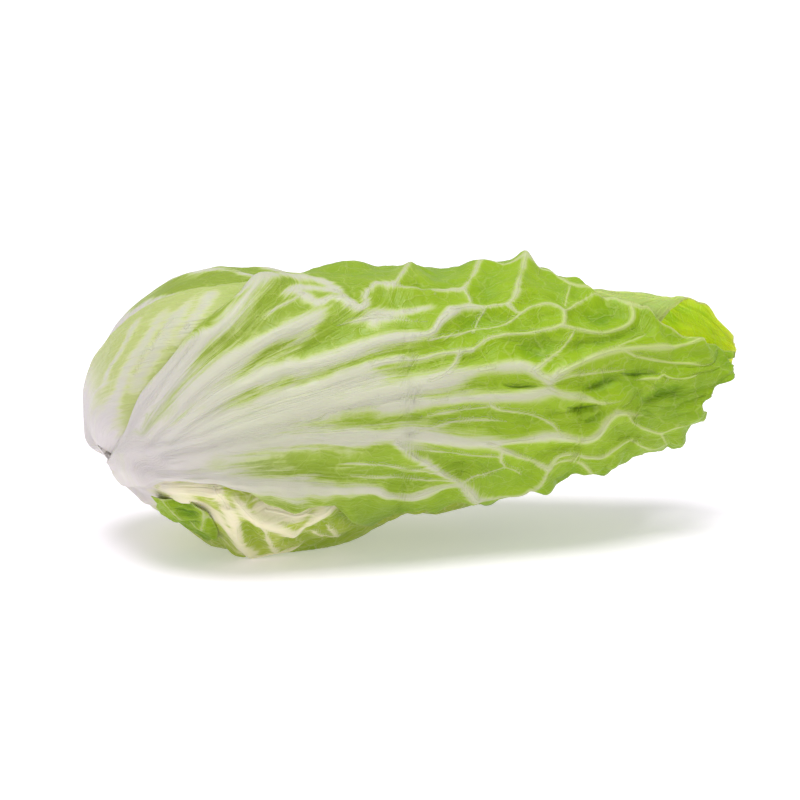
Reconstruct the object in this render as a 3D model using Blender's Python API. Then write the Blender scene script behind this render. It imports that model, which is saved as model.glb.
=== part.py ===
"""A sugarloaf chicory head lying on its side: thin ribbed leaves wrapped round a dense heart.

The head lies along X, with its stem at -X and its leaf tips at +X, and +Z is up.
A place on the head is given by its distance along the leaves from the stem, and by the
angle round the head: 0 faces -Y, 90 degrees faces up, and -90 degrees faces down.
"""

import math
from collections import namedtuple

import bmesh
import bpy
import numpy as np
from mathutils import Matrix, Vector

# Driving dimensions of the heart, which the leaves wrap, in metres
HALF_WIDTH = 0.048
HALF_HEIGHT = 0.054
BUTT_LENGTH = 0.061
TIP_LENGTH = 0.224
STEM_TILT = math.radians(34)
TIP_RISE = 0.006
HEART_START = 0.013
HEART_END = 0.224
HEART_SINK = -0.0024
HEART_TAPER = 0.017
TAPER_START = 0.095
TAPER_REACH = 0.120
HEART_COLUMNS = 26
HEART_ROWS = 20

# The folded margins wound round the heart, and the waves of its open end
WINDS = 3.0
WIND_LENGTH = 0.16
WIND_HEIGHT = 0.0022
WIND_FADE = 0.05
OPEN_END = 0.8
OPEN_WAVES = 5.0
OPEN_DEPTH = 0.006

# How the head departs from an even oval, in metres and shares of its height
BUTT_REACH = 0.078
BUTT_TUCK_LOW = 0.50
BUTT_TUCK_HIGH = 0.32
BUTT_SWEEP = 0.016
BUTT_PRESS = 0.0022
BUTT_PRESS_START = 0.020
BUTT_PRESS_REACH = 0.045
BELLY_TUCK = 0.18
BELLY_START = 0.005
BELLY_REACH = 0.070
LOW_BAND = 0.090
TOP_PRESS = 0.065
TOP_PRESS_START = 0.0
TOP_PRESS_END = 0.092
TOP_PRESS_FADE = 0.032
GIRTH_PAD = 0.006

# Where the middle of the head's widest section lies
MIDDLE = Vector((-0.0836, -0.0013, 0.0630))

# Gaps and edges of the leaves, in metres
LEAF_GAP = 0.0013
HEART_GAP = 0.0010
EDGE_PAD = 0.0035
EDGE_FADE = 0.026
PRESSED = 0.010
PRESSED_RIM = 0.001
END_ROUNDING = 2.4

# The fleshy midrib, which thins out towards the leaf's tip
RIB_WIDTH = 0.020
RIB_TAPER = 1.15
RIB_FADE = 1.4

# The ribs that stand out of a leaf: pairs from foot to tip, as shares of the leaf's length
RIB_SLOPE = 0.0085
RIB_PAIRS = 8
FIRST_RIB = 0.06
RIB_STEP = 0.085
RIB_STAGGER = 0.05
RIB_LEAN = 0.30
RIB_BEND = 0.85
RIB_OVERRUN = 1.02
RIB_POINTS = 15
MIDRIB_POINTS = 60
RIB_AT_FOOT = 0.25
RIB_GROWN = 0.7
SIDE_RIB = 0.55
SIDE_RIB_GAIN = 0.05

# The waves of the leaf margins: how far in they reach, their length and the turn from leaf to leaf
FRILL_REACH = 0.009
FRILL_LENGTH = 0.0046
FRILL_SLANT = 5.0
FRILL_TURN = 0.857
FRILL_START = 0.35

# How far the inner leaves' tips curl in over the heart
CURL = 0.026
CURL_START = 0.190
CURL_REACH = 0.075

# The step in the front leaf's torn end, by its place across the leaf
STEP_PLACE = 0.1
STEP_WIDTH = 0.3

# How far the tip leaf opens at its end
TIP_FLARE = 0.011
FLARE_START = 0.250
FLARE_REACH = 0.060

# The folds of the crumpled underside leaf
FOLD_DEPTH = 0.0042
FOLD_WIDTH = 0.021
FOLD_SLANT = 0.22

# The stem
STEM_RADIUS = 0.0115
STEM_NARROWING = 0.9
STEM_LENGTH = 0.0115
STEM_GAP = 0.0004
STEM_SIDES = 20
STEM_RIM = 0.0012

# The flattened underside, where the head rests
BLADE_AT_REST = 0.0012
REST_PLACE = (-0.055, 0.0057)
REST_REACH = (0.037, 0.017)
REST_SAG = 0.0085

# Colours of the leaves
WHITE_RIB = (0.80, 0.78, 0.70, 1.0)
CREAM = (0.72, 0.72, 0.42, 1.0)
PALE_GREEN = (0.56, 0.66, 0.26, 1.0)
MID_GREEN = (0.34, 0.52, 0.09, 1.0)
LEAF_ROUGHNESS = 0.45

# A leaf's margins and midrib are routes of (millimetres from the stem, degrees round the head)
Leaf = namedtuple(
    "Leaf",
    "name start end low high middle low_drop high_drop rows columns fat blade ribs frill colour",
)

LEAVES = (
    Leaf(
        "leaf_inner_low", 45, 255, [(45, -125), (150, -150), (255, -140)],
        [(45, 30), (150, 45), (255, 20)], [(45, -50), (255, -55)],
        12, 12, 13, 14, 0.0, 0.9, 0.0, 0.8, PALE_GREEN,
    ),
    Leaf(
        "leaf_inner_high", 45, 265, [(45, 15), (150, 0), (265, 20)],
        [(45, 190), (150, 205), (265, 180)], [(45, 100), (265, 100)],
        12, 12, 13, 14, 0.0, 0.9, 0.0, 0.8, PALE_GREEN,
    ),
    Leaf(
        "leaf_inner_back", 40, 278, [(40, 120), (150, 115), (278, 125)],
        [(40, 255), (150, 270), (278, 240)], [(40, 185), (278, 185)],
        14, 14, 14, 11, 0.0, 0.9, 0.0, 0.8, PALE_GREEN,
    ),
    Leaf(
        "leaf_back_low", 22, 290, [(22, 170), (120, 165), (290, 185)],
        [(22, 290), (120, 310), (290, 290)], [(22, 230), (290, 235)],
        20, 16, 18, 13, 2.0, 1.0, 2.2, 1.5, MID_GREEN,
    ),
    Leaf(
        "leaf_tip", 60, 319,
        [(60, 60), (150, 45), (228, 38), (262, 45), (276, 58), (286, 78), (295, 98), (305, 110),
         (319, 140)],
        [(60, 200), (150, 220), (262, 215), (319, 205)], [(60, 130), (319, 150)],
        2, 20, 26, 15, 0.0, 1.0, 2.8, 3.0, PALE_GREEN,
    ),
    Leaf(
        "leaf_top", 18, 215, [(18, 62), (60, 60), (110, 66), (215, 88)],
        [(18, 190), (110, 215), (215, 200)], [(18, 130), (215, 145)],
        14, 14, 17, 12, 2.0, 1.0, 2.4, 1.8, MID_GREEN,
    ),
    Leaf(
        "leaf_back", 15, 262, [(15, 150), (70, 142), (110, 122), (150, 118), (262, 124)],
        [(15, 235), (70, 240), (150, 252), (262, 242)], [(15, 178), (262, 185)],
        22, 22, 23, 15, 4.5, 1.0, 4.4, 4.0, MID_GREEN,
    ),
    Leaf(
        "leaf_left", 15, 165, [(15, -75), (60, -45), (110, -25), (165, 0)],
        [(15, 165), (36, 137), (50, 102), (66, 81), (95, 75), (165, 74)], [(16, 45), (165, 50)],
        14, 12, 18, 14, 3.5, 1.0, 2.0, 1.2, WHITE_RIB,
    ),
    Leaf(
        "leaf_underside", 18, 196, [(18, -150), (60, -140), (120, -138), (196, -120)],
        [(18, -30), (60, -18), (110, -14), (150, -22), (196, -48)], [(18, -85), (196, -85)],
        16, 10, 22, 20, 2.5, 1.1, 2.5, 2.0, CREAM,
    ),
    Leaf(
        "leaf_front", 15, 320,
        [(15, -62), (20, -50), (40, -30), (50, -22), (86, -20), (98, -29), (124, -34),
         (139, -56), (150, -76), (160, -62), (184, -60), (200, -78), (226, -80), (238, -58),
         (252, -74), (265, -56), (280, -74), (294, -70), (310, -60)],
        [(15, 14), (20, 16), (43, 22), (64, 38), (76, 49), (85, 57), (105, 86), (120, 102),
         (135, 114), (206, 116), (232, 98), (247, 78), (261, 66), (276, 57), (297, 50),
         (305, 58), (318, 74)],
        [(15, -25), (95, -4), (117, 8), (168, 14), (206, 17), (315, 10)],
        18, 0, 46, 20, 5.0, 1.0, 5.2, 5.0, WHITE_RIB,
    ),
    Leaf(
        "leaf_scrap", 38, 78, [(38, -80), (78, -86)],
        [(38, -40), (54, -42), (67, -39), (78, -44)], [(38, -62), (78, -64)],
        8, 6, 8, 8, 1.0, 0.9, 2.0, 2.5, MID_GREEN,
    ),
)


def smooth(share):
    """An even ramp from 0 to 1 that starts and ends level."""
    share = np.clip(share, 0.0, 1.0)
    return share * share * (3.0 - 2.0 * share)


def meridian():
    """Angles from the stem round to the tip, and the distance along the head to each."""
    turn = np.linspace(0.0, math.pi, 721)
    length = np.where(turn < math.pi / 2, BUTT_LENGTH, TIP_LENGTH)
    pace = np.hypot(length * np.sin(turn), HALF_HEIGHT * np.cos(turn)) * (turn[1] - turn[0])
    return turn, np.concatenate([[0.0], np.cumsum((pace[1:] + pace[:-1]) / 2)])


TURN, DISTANCE = meridian()


def head_point(along, around, lift):
    """The point at a distance along the head, an angle round it and a height over the heart."""
    turn = np.interp(along, DISTANCE, TURN)
    tilt = STEM_TILT * (1.0 - smooth(turn / (math.pi / 2)))
    ahead, out = -np.cos(turn), np.sin(turn)
    x = ahead * np.cos(tilt) - out * np.sin(around) * np.sin(tilt)
    y = -out * np.cos(around)
    z = ahead * np.sin(tilt) + out * np.sin(around) * np.cos(tilt)
    length = np.where(x < 0.0, BUTT_LENGTH, TIP_LENGTH)
    normal = np.stack([x / length, y / HALF_WIDTH, z / HALF_HEIGHT], axis=-1)
    normal /= np.linalg.norm(normal, axis=-1, keepdims=True)
    point = np.stack([x * length, y * HALF_WIDTH, z * HALF_HEIGHT], axis=-1)
    point = point + normal * np.asarray(lift)[..., None]
    return settle(point) + np.array(MIDDLE)


def settle(point):
    """Tucks in the butt, the belly and the top, and raises the tip, of an even oval head."""
    x, z = point[..., 0], point[..., 2]
    butt = np.clip(-x / BUTT_REACH, 0.0, 1.0)
    low = smooth(0.5 - z / LOW_BAND)
    tuck = low * (BUTT_TUCK_LOW * butt + BELLY_TUCK * smooth((x - BELLY_START) / BELLY_REACH))
    tuck = tuck + (1.0 - low) * BUTT_TUCK_HIGH * butt ** 3
    middle = smooth((x - TOP_PRESS_START) / TOP_PRESS_FADE)
    middle = middle * (1.0 - smooth((x - TOP_PRESS_END) / TOP_PRESS_FADE))
    tuck = tuck + TOP_PRESS * middle * smooth(z / HALF_HEIGHT)
    rise = TIP_RISE * (np.maximum(x, 0.0) / TIP_LENGTH) ** 2
    press = BUTT_PRESS * smooth((-x - BUTT_PRESS_START) / BUTT_PRESS_REACH)
    y = point[..., 1] + BUTT_SWEEP * butt ** 2
    return np.stack([x + press, y, z * (1.0 - tuck) + rise], axis=-1)


def girth(along):
    """The head's radius at a distance along it."""
    return HALF_HEIGHT * np.sin(np.interp(along, DISTANCE, TURN)) + GIRTH_PAD


def route(points, along):
    """A smooth curve through (millimetres, degrees) points, level past its ends, in radians."""
    place, value = np.array(points, float).T
    place = place / 1000.0
    value = np.radians(value)
    slope = np.gradient(value, place)
    along = np.clip(along, place[0], place[-1])
    i = np.clip(np.searchsorted(place, along) - 1, 0, len(place) - 2)
    reach = place[i + 1] - place[i]
    s = (along - place[i]) / reach
    before = (1 + 2 * s) * (1 - s) ** 2 * value[i] + s * (1 - s) ** 2 * reach * slope[i]
    after = s * s * (3 - 2 * s) * value[i + 1] + s * s * (s - 1) * reach * slope[i + 1]
    return before + after


def leaf_end(leaf, across):
    """How far along the head a leaf reaches, which falls away from its rounded tip."""
    if leaf.name == "leaf_front":
        drop = leaf.low_drop * smooth((STEP_PLACE - across) / STEP_WIDTH)
        return (leaf.end - drop) / 1000.0
    drop = np.where(across < 0.0, leaf.low_drop, leaf.high_drop) * np.abs(across) ** END_ROUNDING
    return (leaf.end - drop) / 1000.0


def place_in(leaf, along, around):
    """Where a place lies in a leaf: across it from -1 to 1, and how far inside its edge."""
    low, high = route(leaf.low, along), route(leaf.high, along)
    half = (high - low) / 2
    turn = (around - (low + high) / 2 + math.pi) % (2 * math.pi) - math.pi
    across = turn / half
    side = (1.0 - np.abs(across)) * half * girth(along)
    end = leaf_end(leaf, np.clip(across, -1.0, 1.0)) - along
    return across, np.minimum(np.minimum(side, end), along - leaf.start / 1000.0)


def from_midrib(leaf, along, around):
    """The distance round the head from a leaf's midrib."""
    turn = (around - route(leaf.middle, along) + math.pi) % (2 * math.pi) - math.pi
    return turn * girth(along)


def grown(leaf, along):
    """The share of a leaf's length, from 0 at its foot to 1 at its tip."""
    return np.clip((along * 1000.0 - leaf.start) / (leaf.end - leaf.start), 0.0, 1.0)


def thickness(leaf, along, around):
    """A leaf's thickness: a thin blade with a fleshy midrib that fades to the tip."""
    share = grown(leaf, along)
    rib = np.exp(-((from_midrib(leaf, along, around) / (RIB_WIDTH * (RIB_TAPER - share))) ** 2))
    return (leaf.blade + leaf.fat * rib * (1.0 - share) ** RIB_FADE) / 1000.0


def lift_under(number, along, around):
    """How high the leaves under a leaf reach over the heart at a place."""
    total = np.full(np.shape(along), HEART_GAP)
    for leaf in LEAVES[:number]:
        inside = place_in(leaf, along, around)[1]
        present = smooth((inside + EDGE_FADE) / (EDGE_FADE - EDGE_PAD))
        total = total + present * (thickness(leaf, along, around) + LEAF_GAP)
    return total


def bare(number, along, around):
    """1 where no later leaf covers this one, falling to 0 where one does."""
    free = np.ones(np.shape(along))
    for leaf in LEAVES[number + 1:]:
        inside = place_in(leaf, along, around)[1]
        free = np.minimum(free, 1.0 - smooth((inside + PRESSED) / (PRESSED - PRESSED_RIM)))
    return free


def ribs_of(leaf):
    """The midrib and the side ribs that leave it, as (distance, angle) routes and strengths."""
    length = leaf.end - leaf.start
    found = []
    share = np.linspace(0.0, 1.0, RIB_POINTS)
    for step in range(1, RIB_PAIRS + 1):
        foot = leaf.start + length * (FIRST_RIB + RIB_STEP * step)
        for side in (-1.0, 1.0):
            stagger = RIB_STAGGER * side * (step % 2)
            along = (foot + length * (stagger + RIB_LEAN * share)) / 1000.0
            along = np.minimum(along, leaf.end / 1000.0)
            edge = route(leaf.low if side < 0 else leaf.high, along)
            middle = route(leaf.middle, along)
            around = middle + (edge - middle) * share ** RIB_BEND * RIB_OVERRUN
            found.append((along, around, SIDE_RIB + SIDE_RIB_GAIN * step))
    along = np.linspace(leaf.start, leaf.end, MIDRIB_POINTS) / 1000.0
    found.append((along, route(leaf.middle, along), 1.0))
    return found


def rib_relief(leaf, along, around):
    """How far the ribs stand out, with the blade slung between them like cloth over wires."""
    height = np.zeros(np.shape(along))
    for rib_along, rib_around, strength in ribs_of(leaf):
        far = np.full(np.shape(along), 1.0)
        for a, r in zip(rib_along, rib_around):
            turn = (around - r + math.pi) % (2 * math.pi) - math.pi
            far = np.minimum(far, np.hypot(along - a, turn * girth(along)))
        height = np.maximum(height, strength * np.exp(-far / RIB_SLOPE))
    full = RIB_AT_FOOT + (1.0 - RIB_AT_FOOT) * smooth(grown(leaf, along) / RIB_GROWN)
    return height * leaf.ribs / 1000.0 * full


def relief(number, along, around, across, inside):
    """The ribs and the waved margin of a leaf, pressed flat where a later leaf lies on it."""
    leaf = LEAVES[number]
    edge = np.exp(-np.maximum(inside, 0.0) / FRILL_REACH) * smooth(grown(leaf, along) / FRILL_START)
    wave = 0.5 + 0.5 * np.sin(along / FRILL_LENGTH + across * FRILL_SLANT + number * FRILL_TURN)
    frill = leaf.frill / 1000.0 * edge * wave
    shape = rib_relief(leaf, along, around) + frill
    if leaf.name == "leaf_tip":
        shape = shape + TIP_FLARE * smooth((along - FLARE_START) / FLARE_REACH)
    if leaf.name == "leaf_underside":
        slant = around * girth(along) + FOLD_SLANT * along
        shape = shape + FOLD_DEPTH * (0.5 + 0.5 * np.sin(2.0 * math.pi * slant / FOLD_WIDTH))
    return shape * bare(number, along, around)


def leaf_places(leaf, u, v):
    """The place on the head of each grid point, u across the leaf and v along it."""
    along = leaf.start / 1000.0 + v * (leaf_end(leaf, u) - leaf.start / 1000.0)
    low, high = route(leaf.low, along), route(leaf.high, along)
    return along, (low + high) / 2 + u * (high - low) / 2


def rest_sag(point):
    """How much the underside leaf bulges down round the place where the head rests."""
    off = [(point[..., i] - REST_PLACE[i]) / REST_REACH[i] for i in (0, 1)]
    return REST_SAG * np.exp(-((off[0] ** 2 + off[1] ** 2) ** 2))


def leaf_faces(number, u, v):
    """The outer and the inner points of a leaf's blade."""
    leaf = LEAVES[number]
    along, around = leaf_places(leaf, u, v)
    across, inside = place_in(leaf, along, around)
    lift = lift_under(number, along, around) + relief(number, along, around, across, inside)
    if leaf.name.startswith("leaf_inner"):
        lift = lift - CURL * smooth((along - CURL_START) / CURL_REACH)
    if leaf.name == "leaf_underside":
        lift = lift + rest_sag(head_point(along, around, lift))
    outer = head_point(along, around, lift + thickness(leaf, along, around))
    inner = head_point(along, around, lift)
    if leaf.name == "leaf_underside":
        outer[:, 2] = np.maximum(outer[:, 2], 0.0)
        inner[:, 2] = np.maximum(inner[:, 2], BLADE_AT_REST)
    return outer, inner


def blade_mesh(columns, rows):
    """A grid of triangles with a second one behind it, joined round the rim."""
    bm = bmesh.new()
    bmesh.ops.create_grid(bm, x_segments=columns, y_segments=rows, size=1.0)
    bmesh.ops.triangulate(bm, faces=bm.faces[:], quad_method="FIXED")
    rim = [edge for edge in bm.edges if edge.is_boundary]
    copy = bmesh.ops.duplicate(bm, geom=bm.verts[:] + bm.edges[:] + bm.faces[:])
    behind = [item for item in copy["geom"] if isinstance(item, bmesh.types.BMVert)]
    back_faces = [item for item in copy["geom"] if isinstance(item, bmesh.types.BMFace)]
    back_rim = [item for item in copy["geom"]
                if isinstance(item, bmesh.types.BMEdge) and item.is_boundary]
    bmesh.ops.reverse_faces(bm, faces=back_faces)
    bmesh.ops.bridge_loops(bm, edges=rim + back_rim)
    bmesh.ops.triangulate(bm, faces=[face for face in bm.faces if len(face.verts) > 3])
    behind = set(behind)
    front = [vert for vert in bm.verts if vert not in behind]
    back = [vert for vert in bm.verts if vert in behind]
    return bm, front, back


def leaf_material(name, colour):
    """A plain soft-gloss leaf finish."""
    material = bpy.data.materials.new(name)
    material.use_nodes = True
    shader = material.node_tree.nodes["Principled BSDF"]
    shader.inputs["Base Color"].default_value = colour
    shader.inputs["Roughness"].default_value = LEAF_ROUGHNESS
    shader.inputs["Metallic"].default_value = 0.0
    material.diffuse_color = colour
    return material


def add_object(name, bm, colour):
    """Turns a finished bmesh into a named object with its own material."""
    bmesh.ops.recalc_face_normals(bm, faces=bm.faces[:])
    if bm.calc_volume(signed=True) < 0.0:
        bmesh.ops.reverse_faces(bm, faces=bm.faces[:])
    mesh = bpy.data.meshes.new(name)
    bm.to_mesh(mesh)
    bm.free()
    mesh.materials.append(leaf_material(name, colour))
    mesh.shade_smooth()
    part = bpy.data.objects.new(name, mesh)
    bpy.context.scene.collection.objects.link(part)
    return part


def make_leaf(number):
    """One leaf of the head, as a thin closed blade."""
    leaf = LEAVES[number]
    bm, front, back = blade_mesh(leaf.columns, leaf.rows)
    for verts, side in ((front, 0), (back, 1)):
        u = np.array([vert.co.x for vert in verts])
        v = np.array([(vert.co.y + 1.0) / 2.0 for vert in verts])
        for vert, point in zip(verts, leaf_faces(number, u, v)[side]):
            vert.co = point
    return add_object(leaf.name, bm, leaf.colour)


def heart_lift(along, around):
    """The heart's own folded leaves, as margins wound round it in relief."""
    wound = (around / (2 * math.pi) * WINDS + along / WIND_LENGTH) % 1.0
    crest = smooth(1.0 - wound) * WIND_HEIGHT
    taper = HEART_TAPER * smooth((along - TAPER_START) / TAPER_REACH)
    return crest * smooth(along / WIND_FADE - 1.0) + HEART_SINK - taper


def make_heart():
    """The dense heart: a closed head of folded leaves with a waved tip."""
    bm = bmesh.new()
    bmesh.ops.create_cone(
        bm, cap_ends=True, segments=HEART_COLUMNS, radius1=1.0, radius2=1.0, depth=1.0
    )
    walls = [edge for edge in bm.edges if abs(edge.verts[0].co.z - edge.verts[1].co.z) > 0.5]
    bmesh.ops.subdivide_edges(bm, edges=walls, cuts=HEART_ROWS - 1, use_grid_fill=True)
    share = np.array([vert.co.z + 0.5 for vert in bm.verts])
    around = np.array([math.atan2(vert.co.y, vert.co.x) for vert in bm.verts])
    along = HEART_START + share * (HEART_END - HEART_START)
    opening = smooth((share - OPEN_END) / (1.0 - OPEN_END))
    along = along + opening * OPEN_DEPTH * np.sin(around * OPEN_WAVES)
    for vert, point in zip(bm.verts, head_point(along, around, heart_lift(along, around))):
        vert.co = point
    bmesh.ops.triangulate(bm, faces=bm.faces[:])
    return add_object("heart", bm, CREAM)


def make_stem():
    """The short stump that the leaves grow from, with its cut face."""
    around = np.radians([0.0, 120.0, 240.0])
    ring = [Vector(point) for point in head_point(np.full(3, HEART_START), around, HEART_SINK)]
    foot = sum(ring, Vector()) / 3
    outward = (ring[2] - ring[0]).cross(ring[1] - ring[0]).normalized()
    if outward.x > 0.0:
        outward.negate()
    bm = bmesh.new()
    bmesh.ops.create_cone(
        bm, cap_ends=True, segments=STEM_SIDES, radius1=STEM_RADIUS,
        radius2=STEM_RADIUS * STEM_NARROWING, depth=STEM_LENGTH,
    )
    rim = [edge for edge in bm.edges if abs(edge.verts[0].co.z - edge.verts[1].co.z) < 1e-6]
    bmesh.ops.bevel(
        bm, geom=rim, offset=STEM_RIM, offset_type="OFFSET", segments=1, profile=0.5,
        affect="EDGES", material=-1,
    )
    turn = Vector((0.0, 0.0, 1.0)).rotation_difference(outward).to_matrix().to_4x4()
    place = Matrix.Translation(foot + outward * (STEM_LENGTH / 2 + STEM_GAP))
    bmesh.ops.transform(bm, matrix=place @ turn, verts=bm.verts[:])
    bmesh.ops.triangulate(bm, faces=bm.faces[:])
    return add_object("stem", bm, WHITE_RIB)


def clear_scene():
    """Removes whatever the scene starts with."""
    for item in list(bpy.data.objects):
        bpy.data.objects.remove(item, do_unlink=True)


def main():
    clear_scene()
    make_stem()
    make_heart()
    for number in range(len(LEAVES)):
        make_leaf(number)


main()
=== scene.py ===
import math
from collections import namedtuple

import bmesh
import bpy
import numpy as np
from mathutils import Matrix, Vector, noise


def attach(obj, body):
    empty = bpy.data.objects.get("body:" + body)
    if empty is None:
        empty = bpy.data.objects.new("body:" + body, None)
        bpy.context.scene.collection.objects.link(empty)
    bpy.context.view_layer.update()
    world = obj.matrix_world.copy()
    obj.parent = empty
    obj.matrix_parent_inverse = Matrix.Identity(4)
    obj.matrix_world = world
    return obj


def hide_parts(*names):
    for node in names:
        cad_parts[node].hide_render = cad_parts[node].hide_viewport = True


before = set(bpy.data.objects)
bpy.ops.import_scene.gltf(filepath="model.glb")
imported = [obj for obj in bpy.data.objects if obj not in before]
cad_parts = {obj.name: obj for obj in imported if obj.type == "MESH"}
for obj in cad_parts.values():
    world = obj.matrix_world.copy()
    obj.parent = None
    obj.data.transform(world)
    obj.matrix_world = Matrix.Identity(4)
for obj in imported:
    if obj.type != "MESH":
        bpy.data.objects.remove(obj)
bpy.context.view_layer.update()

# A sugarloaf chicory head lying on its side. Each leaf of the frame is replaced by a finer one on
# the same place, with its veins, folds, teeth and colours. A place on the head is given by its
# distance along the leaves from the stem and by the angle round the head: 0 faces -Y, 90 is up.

# The head's form, as the frame has it, in metres
HALF_WIDTH = 0.048
HALF_HEIGHT = 0.054
BUTT_LENGTH = 0.061
TIP_LENGTH = 0.224
STEM_TILT = math.radians(34)
TIP_RISE = 0.006
BUTT_REACH = 0.078
BUTT_TUCK_LOW = 0.50
BUTT_TUCK_HIGH = 0.32
BUTT_SWEEP = 0.016
BUTT_PRESS = 0.0022
BUTT_PRESS_START = 0.020
BUTT_PRESS_REACH = 0.045
BELLY_TUCK = 0.18
BELLY_START = 0.005
BELLY_REACH = 0.070
LOW_BAND = 0.090
TOP_PRESS = 0.065
TOP_PRESS_START = 0.0
TOP_PRESS_END = 0.092
TOP_PRESS_FADE = 0.032
GIRTH_PAD = 0.006
MIDDLE = np.array((-0.0836, -0.0013, 0.0630))

HEART_START = 0.013
HEART_END = 0.224
HEART_SINK = -0.0024
HEART_TAPER = 0.017
TAPER_START = 0.095
TAPER_REACH = 0.120
WINDS = 3.0
WIND_LENGTH = 0.16
WIND_HEIGHT = 0.0022
WIND_FADE = 0.05
OPEN_END = 0.8
OPEN_WAVES = 5.0
OPEN_DEPTH = 0.006
STEM_RADIUS = 0.0150
STEM_NARROWING = 0.9
STEM_LENGTH = 0.0085
STEM_GAP = 0.0004
STEM_RIM = 0.0036

LEAF_GAP = 0.0013
HEART_GAP = 0.0010
EDGE_PAD = 0.0035
EDGE_FADE = 0.026
PRESSED = 0.010
PRESSED_RIM = 0.001
END_ROUNDING = 2.4
RIB_WIDTH = 0.020
RIB_TAPER = 1.15
RIB_FADE = 1.4
CURL = 0.026
CURL_START = 0.190
CURL_REACH = 0.075
TIP_FLARE = 0.011
FLARE_START = 0.250
FLARE_REACH = 0.060
REST_PLACE = (-0.055, 0.0057)
REST_REACH = (0.037, 0.017)
REST_SAG = 0.0085

# How much nearer to the stem the fine leaves start than the frame's do, in millimetres
FOOT_REACH = {"leaf_front": 4.0, "leaf_left": 12.0, "leaf_underside": 6.0, "leaf_back": 6.0,
              "leaf_top": 6.0}

# The camera, and the photograph's frame in pixels
FRAME_PIXELS = 800.0
SENSOR = 36.0
LENS = 126.7
CAMERA_TURN = math.radians(-10.0)
CAMERA_RISE = math.radians(13.0)
CAMERA_AWAY = 1.25
CAMERA_AIM = np.array((-0.0108, -0.0003, 0.0635))

# A leaf's margins and midrib are routes of (millimetres from the stem, degrees round the head)
Leaf = namedtuple(
    "Leaf", "name start end low high middle low_drop high_drop columns rows fat blade frill"
)
LEAVES = (
    Leaf("leaf_inner_low", 45, 255, [(45, -125), (150, -150), (255, -140)],
         [(45, 30), (150, 45), (255, 20)], [(45, -50), (255, -55)],
         12, 12, 50, 70, 0.0, 0.9, 0.8),
    Leaf("leaf_inner_high", 45, 265, [(45, 15), (150, 0), (265, 20)],
         [(45, 190), (150, 205), (265, 180)], [(45, 100), (265, 100)],
         12, 12, 50, 70, 0.0, 0.9, 0.8),
    Leaf("leaf_inner_back", 40, 278, [(40, 120), (150, 115), (278, 125)],
         [(40, 255), (150, 270), (278, 240)], [(40, 185), (278, 185)],
         14, 14, 60, 90, 0.0, 0.9, 0.8),
    Leaf("leaf_back_low", 22, 290, [(22, 170), (120, 165), (290, 185)],
         [(22, 290), (120, 310), (290, 290)], [(22, 230), (290, 235)],
         20, 16, 80, 140, 2.0, 1.0, 1.5),
    Leaf("leaf_tip", 60, 319, [(60, 60), (150, 45), (228, 38), (262, 45), (276, 58), (286, 78),
                               (295, 98), (305, 110), (319, 140)],
         [(60, 200), (150, 220), (262, 215), (319, 205)], [(60, 130), (319, 150)],
         2, 20, 110, 180, 0.0, 1.0, 3.0),
    Leaf("leaf_top", 18, 215, [(18, 62), (60, 60), (110, 66), (215, 88)],
         [(18, 190), (110, 215), (215, 200)], [(18, 130), (215, 145)],
         14, 14, 100, 150, 2.0, 1.0, 1.8),
    Leaf("leaf_back", 15, 262, [(15, 150), (70, 142), (110, 122), (150, 118), (262, 124)],
         [(15, 235), (70, 240), (150, 252), (262, 242)], [(15, 178), (262, 185)],
         22, 22, 130, 230, 4.5, 1.0, 4.0),
    Leaf("leaf_left", 15, 165, [(15, -75), (60, -45), (110, -25), (165, 0)],
         [(15, 165), (36, 137), (50, 102), (66, 81), (95, 75), (165, 74)], [(16, 45), (165, 50)],
         14, 12, 120, 130, 3.5, 1.0, 1.2),
    Leaf("leaf_underside", 18, 196, [(18, -150), (60, -140), (120, -138), (196, -120)],
         [(18, -30), (60, -18), (110, -14), (150, -22), (196, -48)], [(18, -85), (196, -85)],
         16, 10, 150, 200, 2.5, 1.1, 2.0),
    Leaf("leaf_front", 15, 320,
         [(15, -62), (20, -50), (40, -30), (50, -22), (66, -20), (86, -20), (92, -24), (98, -29),
          (113, -32), (124, -34), (130, -42), (139, -56), (147, -76), (154, -76), (159, -62),
          (178, -62), (188, -54), (200, -78), (214, -74), (226, -80), (232, -74), (236, -57),
          (241, -57), (251, -74), (260, -72), (265, -54), (272, -66), (284, -76), (292, -74),
          (298, -64), (310, -60)],
         [(15, 14), (20, 16), (43, 22), (51, 31), (64, 38), (76, 49), (85, 57), (93, 68), (105, 86),
          (120, 102), (135, 114), (206, 116), (232, 98), (240, 90), (247, 78), (261, 66),
          (269, 62), (276, 57), (287, 53), (297, 50), (305, 58), (318, 74)],
         [(15, -25), (95, -4), (117, 8), (168, 14), (206, 17), (315, 10)],
         26, 5, 172, 278, 5.0, 1.0, 5.0),
    Leaf("leaf_scrap", 38, 78, [(38, -80), (78, -86)],
         [(38, -40), (54, -42), (67, -39), (78, -44)], [(38, -62), (78, -64)],
         8, 6, 60, 60, 1.0, 0.9, 2.5),
)
NUMBER = {leaf.name: number for number, leaf in enumerate(LEAVES)}


def smooth(share):
    """An even ramp from 0 to 1 that starts and ends level."""
    share = np.clip(share, 0.0, 1.0)
    return share * share * (3.0 - 2.0 * share)


def meridian():
    """Angles from the stem round to the tip, and the distance along the head to each."""
    turn = np.linspace(0.0, math.pi, 721)
    length = np.where(turn < math.pi / 2, BUTT_LENGTH, TIP_LENGTH)
    pace = np.hypot(length * np.sin(turn), HALF_HEIGHT * np.cos(turn)) * (turn[1] - turn[0])
    return turn, np.concatenate([[0.0], np.cumsum((pace[1:] + pace[:-1]) / 2)])


TURN, DISTANCE = meridian()


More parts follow.
